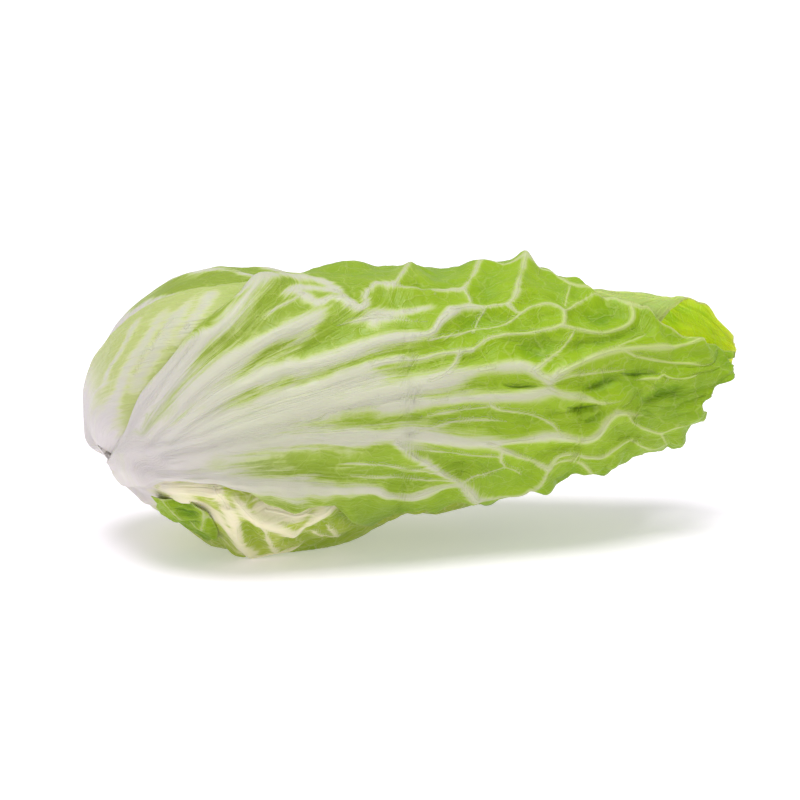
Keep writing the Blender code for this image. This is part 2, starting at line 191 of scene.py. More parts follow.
def head_point(along, around, lift):
    """The point at a distance along the head, an angle round it and a height over the heart."""
    turn = np.interp(along, DISTANCE, TURN)
    tilt = STEM_TILT * (1.0 - smooth(turn / (math.pi / 2)))
    ahead, out = -np.cos(turn), np.sin(turn)
    x = ahead * np.cos(tilt) - out * np.sin(around) * np.sin(tilt)
    y = -out * np.cos(around)
    z = ahead * np.sin(tilt) + out * np.sin(around) * np.cos(tilt)
    length = np.where(x < 0.0, BUTT_LENGTH, TIP_LENGTH)
    normal = np.stack([x / length, y / HALF_WIDTH, z / HALF_HEIGHT], axis=-1)
    normal /= np.linalg.norm(normal, axis=-1, keepdims=True)
    point = np.stack([x * length, y * HALF_WIDTH, z * HALF_HEIGHT], axis=-1)
    point = point + normal * np.asarray(lift)[..., None]
    return settle(point) + MIDDLE


def settle(point):
    """Tucks in the butt and the belly, presses the top and raises the tip of an even head."""
    x, z = point[..., 0], point[..., 2]
    butt = np.clip(-x / BUTT_REACH, 0.0, 1.0)
    low = smooth(0.5 - z / LOW_BAND)
    tuck = low * (BUTT_TUCK_LOW * butt + BELLY_TUCK * smooth((x - BELLY_START) / BELLY_REACH))
    tuck = tuck + (1.0 - low) * BUTT_TUCK_HIGH * butt ** 3
    press_top = (smooth((x - TOP_PRESS_START) / TOP_PRESS_FADE)
                 * (1.0 - smooth((x - TOP_PRESS_END) / TOP_PRESS_FADE)))
    tuck = tuck + TOP_PRESS * press_top * smooth(z / HALF_HEIGHT)
    rise = TIP_RISE * (np.maximum(x, 0.0) / TIP_LENGTH) ** 2
    press = BUTT_PRESS * smooth((-x - BUTT_PRESS_START) / BUTT_PRESS_REACH)
    return np.stack([x + press, point[..., 1] + BUTT_SWEEP * butt ** 2,
                     z * (1.0 - tuck) + rise], axis=-1)


def girth(along):
    """The head's radius at a distance along it."""
    return HALF_HEIGHT * np.sin(np.interp(along, DISTANCE, TURN)) + GIRTH_PAD


def route(points, along):
    """A smooth curve through (millimetres, degrees) points, level past its ends, in radians."""
    place, value = np.array(points, float).T
    place = place / 1000.0
    value = np.radians(value)
    slope = np.gradient(value, place)
    along = np.clip(along, place[0], place[-1])
    i = np.clip(np.searchsorted(place, along) - 1, 0, len(place) - 2)
    reach = place[i + 1] - place[i]
    s = (along - place[i]) / reach
    before = (1 + 2 * s) * (1 - s) ** 2 * value[i] + s * (1 - s) ** 2 * reach * slope[i]
    after = s * s * (3 - 2 * s) * value[i + 1] + s * s * (s - 1) * reach * slope[i + 1]
    return before + after


def wrap(turn):
    """An angle brought to within half a turn of zero."""
    return (turn + math.pi) % (2 * math.pi) - math.pi


# The front leaf's torn end: places across it from -1 to 1, and millimetres from the stem
FRONT_END = ((-1.0, 303), (-0.8, 301), (-0.6, 299), (-0.45, 301), (-0.3, 298), (-0.18, 298),
             (-0.14, 303), (-0.06, 304), (-0.02, 309), (0.05, 316), (0.12, 319), (0.35, 318),
             (0.5, 320), (0.7, 318), (0.85, 321), (1.0, 320))


def leaf_end(leaf, across):
    """How far along the head a leaf reaches, which falls away from its rounded tip."""
    if leaf.name == "leaf_front":
        return np.interp(across, *np.array(FRONT_END).T) / 1000.0
    drop = np.where(across < 0.0, leaf.low_drop, leaf.high_drop) * np.abs(across) ** END_ROUNDING
    return (leaf.end - drop) / 1000.0


def foot_of(leaf):
    """How far from the stem a fine leaf starts."""
    return (leaf.start - FOOT_REACH.get(leaf.name, 0.0)) / 1000.0


def place_in(leaf, along, around):
    """Where a place lies in a leaf: across it from -1 to 1, and how far inside its edge."""
    low, high = route(leaf.low, along), route(leaf.high, along)
    half = (high - low) / 2
    across = wrap(around - (low + high) / 2) / half
    side = (1.0 - np.abs(across)) * half * girth(along)
    end = leaf_end(leaf, np.clip(across, -1.0, 1.0)) - along
    return across, np.minimum(np.minimum(side, end), along - foot_of(leaf))


def grown(leaf, along):
    """The share of a leaf's length, from 0 at its foot to 1 at its tip."""
    return np.clip((along * 1000.0 - leaf.start) / (leaf.end - leaf.start), 0.0, 1.0)


def thickness(leaf, along, around):
    """A leaf's thickness: a thin blade with a fleshy midrib that fades to the tip."""
    share = grown(leaf, along)
    off = wrap(around - route(leaf.middle, along)) * girth(along)
    rib = np.exp(-((off / (RIB_WIDTH * (RIB_TAPER - share))) ** 2))
    return (leaf.blade + leaf.fat * rib * (1.0 - share) ** RIB_FADE) / 1000.0


def lift_under(number, along, around):
    """How high the leaves under a leaf reach over the heart at a place."""
    total = np.full(np.shape(along), HEART_GAP)
    for leaf in LEAVES[:number]:
        inside = place_in(leaf, along, around)[1]
        present = smooth((inside + EDGE_FADE) / (EDGE_FADE - EDGE_PAD))
        total = total + present * (thickness(leaf, along, around) + LEAF_GAP)
    return total


def bare(number, along, around):
    """1 where no later leaf covers this one, falling to 0 where one does."""
    free = np.ones(np.shape(along))
    for leaf in LEAVES[number + 1:]:
        inside = place_in(leaf, along, around)[1]
        free = np.minimum(free, 1.0 - smooth((inside + PRESSED) / (PRESSED - PRESSED_RIM)))
    return free


def camera_axes():
    """The camera's right, up and forward directions."""
    turn, rise = CAMERA_TURN, CAMERA_RISE
    ahead = np.array((-math.sin(turn) * math.cos(rise), math.cos(turn) * math.cos(rise),
                      -math.sin(rise)))
    right = np.array((math.cos(turn), math.sin(turn), 0.0))
    return right, np.cross(right, ahead), ahead


def pixel_of(points):
    """Where points show in the photograph's frame, in pixels."""
    right, up, ahead = camera_axes()
    off = points - (CAMERA_AIM - ahead * CAMERA_AWAY)
    scale = LENS / SENSOR * FRAME_PIXELS / (off @ ahead)
    return np.stack([FRAME_PIXELS / 2 + scale * (off @ right),
                     FRAME_PIXELS / 2 - scale * (off @ up)], axis=-1)


def make_camera():
    right, up, ahead = camera_axes()
    data = bpy.data.cameras.new("camera")
    data.lens = LENS
    data.sensor_width = SENSOR
    camera = bpy.data.objects.new("camera", data)
    place = Matrix.Identity(4)
    for row in range(3):
        place[row][0], place[row][1], place[row][2] = right[row], up[row], -ahead[row]
        place[row][3] = (CAMERA_AIM - ahead * CAMERA_AWAY)[row]
    camera.matrix_world = place
    bpy.context.scene.collection.objects.link(camera)
    bpy.context.scene.camera = camera


# A vein is a route over a leaf, by its pixels in the photograph: x, y, x, y and so on. High and
# wide are millimetres at its start and end: how far it stands out, and the half width of the pale
# band along it. Lane numbers the main ribs in their order across the leaf, for the fibres that
# run between them.
Vein = namedtuple("Vein", "points high wide lane", defaults=(None,))

# A fold or hollow pressed into a leaf: its route in pixels, millimetres deep and wide
Fold = namedtuple("Fold", "points deep wide")

# The front leaf's veins, by their pixels in the photograph
FRONT_VEINS = (
    # the midrib and its fork
    Vein([105, 455, 160, 448, 230, 430, 300, 412, 348, 402, 396, 390, 443, 381, 475, 372, 507, 367,
         526, 367, 538, 375, 548, 381], (2.5, 2.6), (17, 2.0), 5.3),
    Vein([548, 381, 564, 371, 583, 362, 602, 354, 623, 350, 645, 348, 667, 348, 686, 345, 700, 342],
         (3.2, 1.6), (2.4, 0.9), 5),
    Vein([623, 352, 637, 356, 652, 359, 667, 362, 689, 363, 706, 365, 716, 361], (1.8, 0.8),
         (1.0, 0.7)),
    Vein([600, 355, 612, 350, 625, 343, 645, 335, 651, 330], (1.5, 0.8), (0.8, 0.6)),
    Vein([554, 382, 571, 376, 593, 373, 614, 371, 632, 369], (1.2, 0.8), (0.7, 0.6)),
    # the second rib
    Vein([330, 416, 380, 407, 435, 402, 475, 398, 523, 396, 548, 391], (1.5, 2.8), (5, 2.2), 6.2),
    Vein([548, 391, 564, 395, 583, 398, 599, 403, 615, 402, 626, 399], (2.8, 1.5), (2.2, 0.9), 6.2),
    Vein([491, 405, 499, 410, 523, 413, 539, 418, 552, 424, 559, 433], (1.2, 1.4), (0.8, 0.8)),
    # the third rib
    Vein([170, 460, 250, 444, 300, 438, 332, 437, 380, 435, 412, 434, 436, 437, 460, 441, 491, 442,
         523, 439, 550, 435, 572, 438, 586, 439, 599, 432, 605, 421, 615, 412], (2.0, 3.4),
         (9, 1.6), 7.4),
    Vein([615, 412, 628, 414, 648, 417], (2.6, 1.2), (1.6, 0.8)),
    Vein([628, 415, 636, 425, 647, 430, 661, 434, 675, 429, 684, 428, 700, 421], (1.6, 0.8),
         (0.9, 0.6), 7.6),
    Vein([661, 434, 666, 443, 669, 451], (0.8, 0.4), (0.7, 0.5)),
    # the diagonals under the third rib
    Vein([396, 442, 408, 452, 428, 464, 444, 474, 460, 482, 472, 492, 488, 503], (2.6, 2.6),
         (2.2, 2.0)),
    Vein([488, 444, 507, 452, 523, 458, 539, 464, 548, 467], (2.2, 2.4), (2.0, 1.6)),
    Vein([548, 467, 541, 478, 532, 486, 521, 492, 500, 496, 475, 497, 462, 488], (2.6, 2.4),
         (1.6, 1.6)),
    Vein([548, 466, 555, 458, 564, 454, 575, 454, 589, 457, 604, 456, 615, 449, 631, 441, 643, 447,
         652, 449, 669, 444, 684, 440], (2.6, 1.0), (1.4, 0.7), 9),
    Vein([554, 463, 567, 460, 580, 463, 589, 470, 597, 475, 604, 477], (1.8, 1.0), (1.1, 0.8)),
    Vein([502, 452, 502, 463, 506, 469, 490, 474, 475, 477, 462, 481], (0.9, 0.9), (0.6, 0.6)),
    Vein([506, 469, 516, 472, 524, 478], (0.6, 0.4), (0.5, 0.5)),
    # fine lines between the third rib and the bottom rib
    Vein([330, 463, 380, 467, 412, 471, 444, 474], (0.7, 0.7), (1.0, 0.6)),
    Vein([330, 474, 380, 479, 420, 481, 452, 480], (0.7, 0.7), (1.0, 0.6)),
    Vein([400, 446, 440, 452, 480, 457, 502, 458], (0.5, 0.5), (0.6, 0.5)),
    Vein([412, 434, 445, 424, 480, 420, 520, 423], (0.5, 0.5), (0.8, 0.5)),
    # the bottom rib
    Vein([150, 478, 210, 484, 260, 486, 300, 488, 332, 490, 372, 490, 389, 496, 412, 497, 436, 490,
         458, 484], (2.2, 2.0), (9, 1.6), 9.2),
    # the wide bands that fan out over the upper left
    Vein([112, 440, 130, 415, 155, 385, 180, 355, 191, 340], (1.2, 1.6), (6.48, 6), 0),
    Vein([140, 430, 170, 380, 191, 349, 223, 325, 239, 306, 254, 288, 262, 276], (2.0, 2.4),
         (6.48, 3.4), 1.2),
    Vein([150, 440, 185, 402, 204, 384, 239, 358, 271, 339, 303, 324, 325, 310, 340, 299, 352, 292],
         (2.2, 3.0), (7.2, 3.0), 2.4),
    Vein([340, 299, 352, 305, 364, 308, 368, 292, 378, 284, 390, 286, 420, 289, 433, 291, 436, 299],
         (2.6, 1.6), (2.6, 1.0)),
    Vein([170, 440, 217, 400, 250, 384, 279, 371, 300, 367, 332, 359, 353, 352, 372, 344, 396, 338,
         418, 337, 431, 334, 440, 323, 452, 313], (2.2, 3.4), (6.48, 2.2), 3.4),
    Vein([200, 430, 260, 402, 310, 388, 354, 373, 376, 365, 396, 361, 420, 359, 440, 354, 459, 352,
         472, 351], (1.6, 2.0), (5.76, 1.2), 4.3),
    Vein([240, 430, 300, 402, 345, 388, 390, 376, 420, 372], (1.0, 0.6), (5.76, 3.0)),
    Vein([300, 290, 318, 300, 331, 298, 340, 299], (1.2, 1.4), (3.5, 2.5)),
    Vein([330, 326, 360, 318, 388, 316, 410, 320, 430, 322], (0.8, 0.8), (2.0, 1.0)),
    Vein([204, 318, 216, 309, 228, 299, 241, 288, 247, 284], (0.9, 0.9), (0.6, 0.6)),
    Vein([255, 322, 275, 308, 290, 299, 304, 292], (0.8, 0.8), (1.0, 0.8)),
    # the upper vein, its loops and the verticals that run to the peaks
    Vein([452, 313, 467, 309, 491, 308, 507, 306, 515, 297, 518, 284, 523, 271, 528, 257],
         (3.2, 3.4), (2.2, 1.2)),
    Vein([507, 308, 520, 314, 530, 308, 545, 305, 554, 307, 564, 312, 563, 323, 560, 328],
         (2.4, 2.4), (1.6, 1.2), 3),
    Vein([564, 312, 579, 303, 593, 297, 612, 299], (2.2, 1.6), (1.0, 1.0)),
    Vein([566, 304, 568, 295, 571, 286], (1.0, 1.2), (0.7, 0.7)),
    Vein([560, 328, 579, 330, 596, 333, 611, 332, 625, 327, 632, 319, 630, 311, 628, 306],
         (2.6, 2.0), (1.2, 1.0), 3.4),
    Vein([393, 287, 402, 276, 412, 265, 418, 258], (2.4, 2.8), (1.4, 1.2)),
    Vein([433, 291, 452, 290, 464, 288, 474, 274, 480, 266, 491, 263, 507, 266, 523, 270, 549, 273,
         571, 284], (2.0, 0.6), (1.4, 1.2)),
    Vein([464, 288, 470, 300, 467, 309], (1.6, 1.6), (1.0, 1.0)),
    Vein([472, 351, 488, 339, 504, 335, 523, 333, 550, 329, 560, 328], (1.6, 2.0), (1.0, 0.9)),
    Vein([459, 352, 456, 363, 444, 373, 430, 380], (1.6, 1.2), (1.2, 1.6)),
    Vein([430, 341, 459, 333, 475, 328, 491, 326, 507, 323, 520, 315], (0.8, 1.2), (0.8, 0.7)),
    Vein([475, 329, 480, 318, 486, 309], (0.5, 0.5), (0.5, 0.5)),
    # the folded spur over the fork of the midrib
    Vein([533, 371, 549, 359, 564, 347, 573, 334], (2.4, 1.8), (1.6, 0.9)),
    # the rolled ridge at the upper right
    Vein([528, 270, 549, 273, 571, 283, 593, 292, 615, 299, 628, 307, 645, 312, 660, 322, 681, 334,
         700, 343, 722, 342], (0.7, 1.4), (1.4, 1.2)),
    # soft pale patches without relief
    Vein([236, 290, 258, 276, 290, 270, 322, 276, 338, 290], (0.0, 0.0), (5.0, 4.0)),
    Vein([270, 300, 300, 284, 330, 288, 350, 300], (0.0, 0.0), (3.0, 2.6)),
    Vein([352, 326, 385, 313, 420, 308, 446, 303], (0.0, 0.0), (3.4, 2.8)),
    Vein([410, 420, 445, 413, 480, 408, 510, 404], (0.0, 0.0), (1.4, 1.0)),
    # the small curled fold near the tip
    Vein([632, 381, 645, 379, 658, 378, 664, 374, 668, 377, 665, 385, 661, 387], (2.0, 1.6),
         (0.8, 0.7)),
    Vein([668, 377, 678, 379, 693, 377, 702, 372], (1.0, 0.5), (0.6, 0.5)),
)

# The left leaf's veins, by their pixels in the photograph
LEFT_VEINS = (
    Vein([100, 440, 112, 400, 124, 370, 140, 345, 152, 325, 165, 305, 180, 290], (0.8, 1.0),
         (5.5, 3.0)),
    Vein([95, 400, 105, 370, 120, 345, 133, 322, 146, 300], (0.6, 0.8), (4.0, 2.6)),
    Vein([119, 410, 135, 380, 150, 355, 165, 330, 180, 308, 195, 292, 205, 283], (0.8, 1.0),
         (5.0, 2.8)),
    Vein([165, 350, 185, 325, 200, 305, 213, 287, 222, 278], (0.6, 0.8), (3.4, 2.4)),
    Vein([133, 374, 141, 356, 147, 345], (0.3, 0.3), (0.8, 0.6)),
    Vein([152, 347, 160, 330, 172, 318], (0.3, 0.3), (0.7, 0.6)),
)

# The crumpled underside leaf's ridges and pockets
UNDER_VEINS = (
    Vein([152, 486, 175, 492, 196, 490, 215, 491], (1.0, 1.5), (5.0, 3.0)),
    Vein([160, 498, 185, 506, 205, 512, 222, 524, 232, 534], (1.0, 3.0), (5.0, 2.2)),
    Vein([214, 489, 222, 500, 230, 512, 236, 526, 240, 540, 251, 549], (2.5, 4.0), (2.4, 2.2)),
    Vein([228, 491, 240, 503, 250, 513, 262, 519, 276, 524, 292, 529], (2.5, 4.0), (2.2, 2.0)),
    Vein([292, 529, 304, 524, 314, 516, 330, 510, 344, 508], (4.0, 3.0), (2.0, 1.6)),
    Vein([248, 497, 262, 509, 280, 514, 300, 515, 318, 508], (2.0, 2.0), (2.4, 1.6)),
    Vein([251, 549, 262, 549, 276, 547, 292, 544, 308, 537], (4.0, 3.2), (1.4, 1.2)),
    Vein([252, 515, 262, 526, 268, 538, 276, 546], (2.5, 3.0), (1.2, 1.0)),
    Vein([323, 523, 331, 528, 338, 534], (2.6, 2.0), (1.2, 0.9)),
    Vein([300, 532, 312, 530, 324, 534, 338, 533], (1.6, 1.6), (1.0, 0.8)),
    Vein([341, 509, 352, 514, 363, 523, 376, 528], (3.4, 3.0), (1.8, 1.2)),
    Vein([376, 528, 384, 522, 389, 513], (3.0, 2.0), (1.0, 0.9)),
    Vein([404, 507, 425, 507, 445, 502, 465, 498], (2.0, 1.6), (1.4, 1.0)),
)
UNDER_FOLDS = (
    Fold([217, 492, 222, 499, 227, 507], 3.0, 3.0),
    Fold([242, 516, 246, 526, 252, 537, 262, 545], 4.0, 3.4),
    Fold([256, 522, 261, 532, 267, 541], 2.0, 2.4),
    Fold([280, 535, 295, 537, 312, 533], 2.6, 3.0),
    Fold([318, 519, 334, 517, 352, 521, 362, 527], 2.6, 3.4),
    Fold([392, 512, 410, 514, 440, 508], 2.0, 3.0),
    Fold([236, 546, 255, 552, 280, 549], 1.5, 1.6),
    Fold([298, 522, 312, 526, 328, 520], 2.0, 2.4),
    Fold([346, 520, 360, 519, 374, 517], 1.8, 2.4),
)
SCRAP_VEINS = (
    Vein([201, 504, 204, 511, 204, 518, 201, 531], (3.0, 2.4), (1.0, 0.8)),
    Vein([204, 518, 210, 521, 216, 524], (2.4, 2.0), (0.9, 0.7)),
    Vein([157, 502, 173, 516, 195, 529, 211, 537], (1.6, 1.6), (0.9, 0.9)),
    Vein([157, 502, 175, 508, 196, 511], (0.4, 0.4), (0.8, 0.6)),
)
SCRAP_FOLDS = (
    Fold([172, 512, 186, 518, 200, 517], 2.8, 1.9),
    Fold([176, 522, 190, 526, 202, 523], 2.2, 1.9),
    Fold([163, 505, 178, 508, 194, 512], 1.6, 1.5),
)

# Folds and hollows pressed into the front leaf, darkened by painted shade
FRONT_FOLDS = (
    Fold([504, 386, 515, 387, 538, 386], 1.8, 1.2),
    Fold([567, 408, 580, 409, 602, 406], 2.6, 1.3),
    Fold([455, 325, 482, 320, 508, 314], 2.0, 6.5),
    Fold([520, 352, 548, 348, 570, 340], 2.0, 7.0),
    Fold([590, 320, 606, 318, 618, 322], 1.0, 6.0),
    Fold([300, 350, 320, 345, 345, 338], 0.8, 4.0),
    Fold([470, 300, 488, 298, 504, 297], 0.9, 5.0),
    Fold([385, 330, 410, 328, 430, 330], 0.8, 4.0),
    Fold([583, 391, 600, 385, 623, 376], 2.6, 2.0),
    Fold([622, 373, 640, 373, 661, 374], 1.6, 1.5),
    Fold([642, 405, 656, 398, 669, 392, 690, 388], 2.4, 2.6),
    Fold([575, 342, 600, 341, 625, 335, 640, 329], 1.8, 2.4),
    Fold([528, 347, 545, 345, 560, 338], 2.0, 3.0),
    Fold([455, 320, 480, 318, 512, 317], 1.8, 2.4),
    Fold([520, 456, 532, 461, 539, 470], 1.6, 2.2),
    Fold([398, 286, 425, 284, 450, 286], 1.6, 2.0),
    Fold([585, 425, 597, 418, 606, 408], 1.6, 2.2),
)

# Where the front leaf's margins swell out, as folds pressed the other way
FRONT_SWELLS = (
    Fold([532, 489, 556, 482], -5.0, 9.0),
    Fold([606, 468, 622, 464], -3.2, 8.0),
    Fold([668, 446, 686, 438], -5.5, 11.0),
    Fold([524, 268, 530, 266], -4.0, 7.0),
    Fold([474, 266, 480, 265], -3.0, 7.0),
    Fold([344, 265, 354, 265], -4.5, 9.0),
    Fold([413, 267, 417, 266], -2.5, 7.0),
)

# The least ripeness of a leaf, from 0 at the stem to 1 at the tips, the ripeness that the tip leaf
# shows outside, and how much sooner than the front leaf a leaf turns green
GREENEST = {"leaf_scrap": 0.68}
TIP_OUTSIDE = 0.30
RIPENING = {"leaf_left": 1.7, "leaf_underside": 1.6}

# How far a leaf's upper margin is drawn in to the leaf below it, near the butt
HUGGING = {"leaf_front": 0.0020, "leaf_left": 0.0024, "leaf_back": 0.0034,
           "leaf_scrap": 0.0026}
HUG_REACH = 0.006
HUG_END = 0.11
HUG_FADE = 0.03

# How veins and folds are looked for and shaped
SEEN_COLUMNS = 420
SEEN_ROWS = 560
VEIN_STEP = 0.002
FOLD_STEP = 0.003
VEIN_REACH = 0.028
VEIN_FADE = 0.30
JOINED = 0.0028
CROWN = 0.003
RIDGE_SLOPE = 0.0052
RIDGE_BLEND = 4.0
RAISED = 0.0025
NO_VEIN = 0.020
FAR_OFF = 0.004
SIDED_REACH = 0.0016
THREAD_WIDTH = 0.0025
SLIT_WIDTH = 2.0
FORKS = ((6, 1.0), (10, -0.6))
FORK_STRENGTH = 0.6

# Puckers, as heights and sizes, and the creases and margins of the blades
PUCKERS = ((0.0011, 0.014), (0.0007, 0.007), (0.0003, 0.0035))
CREASE_WIDTH = 0.11
CREASE_DEPTH = 0.0005
FRILL_REACH = 0.009
WAVE_STEP = 0.0046
RIPPLE_STEP = 0.0021
RIM_SHARE = 0.35
RIM_REACH = 0.004
FLAT_BLADE = 0.0012

# The crumpled underside leaf, which lies calmer near the veins drawn in the photograph
CRUMPLE_SLANT = 0.22
CRUMPLE_HEIGHT = 0.0042
CRUMPLE_STEP = 0.021
DRAWN_REACH = 0.014
DRAWN_LIFT = 0.0022
DRAWN_BELOW = math.radians(-8.0)

HEART_RINGS = 140
FOOT_RINGS = 7
MOUTH_RINGS = 26
MOUTH_DEPTH = 0.009
STEM_RINGS = (0.0012, 0.0016, 0.0020, 0.0020)

FLOOR_SIZE = 12.0
FLOOR_GLOW = 0.30
SKY_STRENGTH = 0.46
SUN_STRENGTH = 2.3
SUN_SOFTNESS = math.radians(32.0)
SUN_WAY = (0.10, 0.16, -1.0)


def spread(points, step):
    """Points a step apart or less, on a smooth curve through the given points."""
    points = np.array(points, float)
    padded = np.concatenate([points[:1] * 2 - points[1:2], points, points[-1:] * 2 - points[-2:-1]])
    found = []
    for a, b, c, d in zip(padded, padded[1:], padded[2:], padded[3:]):
        count = max(1, int(np.linalg.norm(c - b) / step + 0.5))
        t = (np.arange(count) / count)[:, None]
        found.append(0.5 * (2 * b + (c - a) * t + (2 * a - 5 * b + 4 * c - d) * t ** 2
                            + (3 * b - 3 * c + d - a) * t ** 3))
    return np.concatenate(found + [points[-1:]])


def leaf_places(leaf, u, v):
    """The place on the head of each grid point, u across the leaf and v along it."""
    foot = foot_of(leaf)
    along = foot + v * (leaf_end(leaf, u) - foot)
    low, high = route(leaf.low, along), route(leaf.high, along)
    return along, (low + high) / 2 + u * (high - low) / 2


def ground(number, along, around):
    """The middle surface of a leaf before its veins and folds, and its outward directions."""
    leaf = LEAVES[number]
    lift = lift_under(number, along, around) + thickness(leaf, along, around) + RAISED
    point = head_point(along, around, lift)
    outward = head_point(along, around, lift + 0.001) - point
    return point, outward / np.linalg.norm(outward, axis=-1, keepdims=True)


def seen_ground(number):
    """The part of a leaf's middle surface that faces the camera, with the pixels it shows at."""
    u, v = np.meshgrid(np.linspace(-1, 1, SEEN_COLUMNS), np.linspace(0, 1, SEEN_ROWS))
    along, around = leaf_places(LEAVES[number], u.ravel(), v.ravel())
    point, outward = ground(number, along, around)
    eye = CAMERA_AIM - camera_axes()[2] * CAMERA_AWAY
    faces = np.einsum("ij,ij->i", outward, eye - point) > 0.0
    return point[faces], pixel_of(point[faces])


def by_pixels(seen, pixels):
    """The points of a seen surface that show at the given pixels."""
    point, shown = seen
    return np.array([point[np.argmin(((shown - spot) ** 2).sum(axis=1))]
                     for spot in np.reshape(pixels, (-1, 2))])


def traced(name, veins, folds, strength=1.0, widen=1.0):
    """A leaf's veins, folds and numbered ribs on its middle surface, found by their pixels."""
    seen = seen_ground(NUMBER[name])
    lines = [spread(by_pixels(seen, vein.points), VEIN_STEP) for vein in veins]
    raised = [(line, np.array(vein.high) * strength, np.array(vein.wide) * widen)
              for line, vein in zip(lines, veins)]
    pressed = [(spread(by_pixels(seen, fold.points), FOLD_STEP), fold.deep, fold.wide)
               for fold in folds]
    lanes = [(np.concatenate([line[:-1:3], line[-1:]]), vein.lane)
             for line, vein in zip(lines, veins) if vein.lane is not None]
    return raised, pressed, lanes


def grown_veins(name, pairs, high, wide):
    """The veins of a leaf that isn't seen: a midrib, side ribs on both sides and their forks."""
    number = NUMBER[name]
    leaf = LEAVES[number]
    length = leaf.end - leaf.start
    along = np.linspace(leaf.start, leaf.end - 2, 40) / 1000.0
    routes = [(along, route(leaf.middle, along), 1.0)]
    share = np.linspace(0.0, 1.0, 16)
    part = np.linspace(0.0, 1.0, 8)
    for step in range(pairs):
        for side in (-1.0, 1.0):
            foot = leaf.start + length * (0.08 + 0.82 * (step + 0.25 * (side > 0)) / pairs)
            bend = 0.5 + 0.5 * math.sin(2.3 * step + side + number)
            run = foot + length * (0.22 + 0.10 * bend) * share
            run = run + 2.2 * np.sin(share * 9.0 + step * 1.7 + side) * share
            run = np.minimum(run, leaf.end - 1) / 1000.0
            middle = route(leaf.middle, run)
            edge = route(leaf.low if side < 0 else leaf.high, run)
            around = middle + (edge - middle) * share ** (0.8 + 0.2 * bend)
            strength = 0.6 + 0.3 * math.sin(step * 1.9 + side * 0.7 + number) ** 2
            routes.append((run, around, strength))
            for fork, lean in FORKS:
                ahead = run[fork + 3] - run[fork]
                aside = around[fork + 3] - around[fork]
                fork_run = run[fork] + (ahead * 2.0 + lean * 0.004) * part
                fork_around = around[fork] + (aside * 1.2 + lean * side * 0.16 * part) * part
                routes.append((np.minimum(fork_run, leaf.end / 1000.0 - 0.001), fork_around,
                               strength * FORK_STRENGTH))
    return [(spread(ground(number, run, around)[0], FOLD_STEP), np.array(high) * strength,
             np.array(wide) * strength) for run, around, strength in routes]


def beside(line, places, outward):
    """The distance from a route, the side of it, and the share of it gone by, at each place."""
    near = np.full(len(places), 1.0)
    side = np.ones(len(places))
    gone = np.zeros(len(places))
    for i in range(len(line) - 1):
        step = line[i + 1] - line[i]
        t = np.clip((places - line[i]) @ step / max(step @ step, 1e-12), 0.0, 1.0)
        off = places - line[i] - t[:, None] * step
        far = np.linalg.norm(off, axis=1)
        closer = far < near
        near[closer] = far[closer]
        gone[closer] = (i + t[closer]) / (len(line) - 1)
        turn = np.einsum("ij,ij->i", np.cross(step, outward[closer]), off[closer])
        side[closer] = np.where(turn < 0.0, -1.0, 1.0)
    return near, side, gone


def sided(far, side):
    """A distance from a line that is below zero on one side close to it, so that it crosses 0."""
    return np.where(far < SIDED_REACH, far * side, far)


def ends_joined(veins, number):
    """Whether each end of a vein lies on another vein."""
    others = [line for i, (line, _, _) in enumerate(veins) if i != number]
    line = veins[number][0]
    return [any(np.linalg.norm(other - end, axis=1).min() < JOINED for other in others)
            for end in (line[0], line[-1])]


def vein_fields(veins, places, outward):
    """How far veins raise a leaf, how pale they leave it, and the distances from the nearest."""
    tall, pale = np.zeros(len(places)), np.zeros(len(places))
    flow, near = np.full(len(places), NO_VEIN), np.full(len(places), FAR_OFF)
    side = np.ones(len(places))
    for number, (line, high, wide) in enumerate(veins):
        pick = np.flatnonzero(np.all((places > line.min(axis=0) - VEIN_REACH)
                                     & (places < line.max(axis=0) + VEIN_REACH), axis=1))
        if not len(pick):
            continue
        far, turn, gone = beside(line, places[pick], outward[pick])
        width = (wide[0] + (wide[1] - wide[0]) * gone ** 0.7) / 1000.0
        height = (high[0] + (high[1] - high[0]) * gone) / 1000.0
        run = gone * len(line) * 2.0
        swell = np.sin(run / 7.0 + number * 2.1) * np.sin(run / 17.0 + number)
        width = width * (1.0 + 0.32 * swell)
        fade = np.ones(len(far))
        for joined, left in zip(ends_joined(veins, number), (gone, 1.0 - gone)):
            fade = fade if joined else fade * smooth(left / VEIN_FADE)
        height = height * (0.25 + 0.75 * fade)
        crown = np.minimum(width * 0.5, CROWN)
        fall = np.exp(-(np.hypot(far, crown) - crown) / (RIDGE_SLOPE + 0.5 * width))
        tall[pick] += (height * fall) ** RIDGE_BLEND
        band = 0.66 * np.exp(-(far / width) ** 2) + 0.34 * np.exp(-far / (0.9 * width + 0.0008))
        band = band * np.clip(0.45 + width / 0.005, 0.0, 1.0) * fade
        pale[pick] = (pale[pick] ** 3 + band ** 3) ** (1.0 / 3.0)
        flow[pick] = np.minimum(flow[pick], far)
        thin = far / (0.08 + 0.92 * fade)
        closer = (thin < near[pick]) & (width < THREAD_WIDTH)
        near[pick[closer]] = thin[closer]
        side[pick[closer]] = turn[closer]
    return tall ** (1.0 / RIDGE_BLEND), np.minimum(pale, 1.0), sided(near, side) * 1000.0, flow


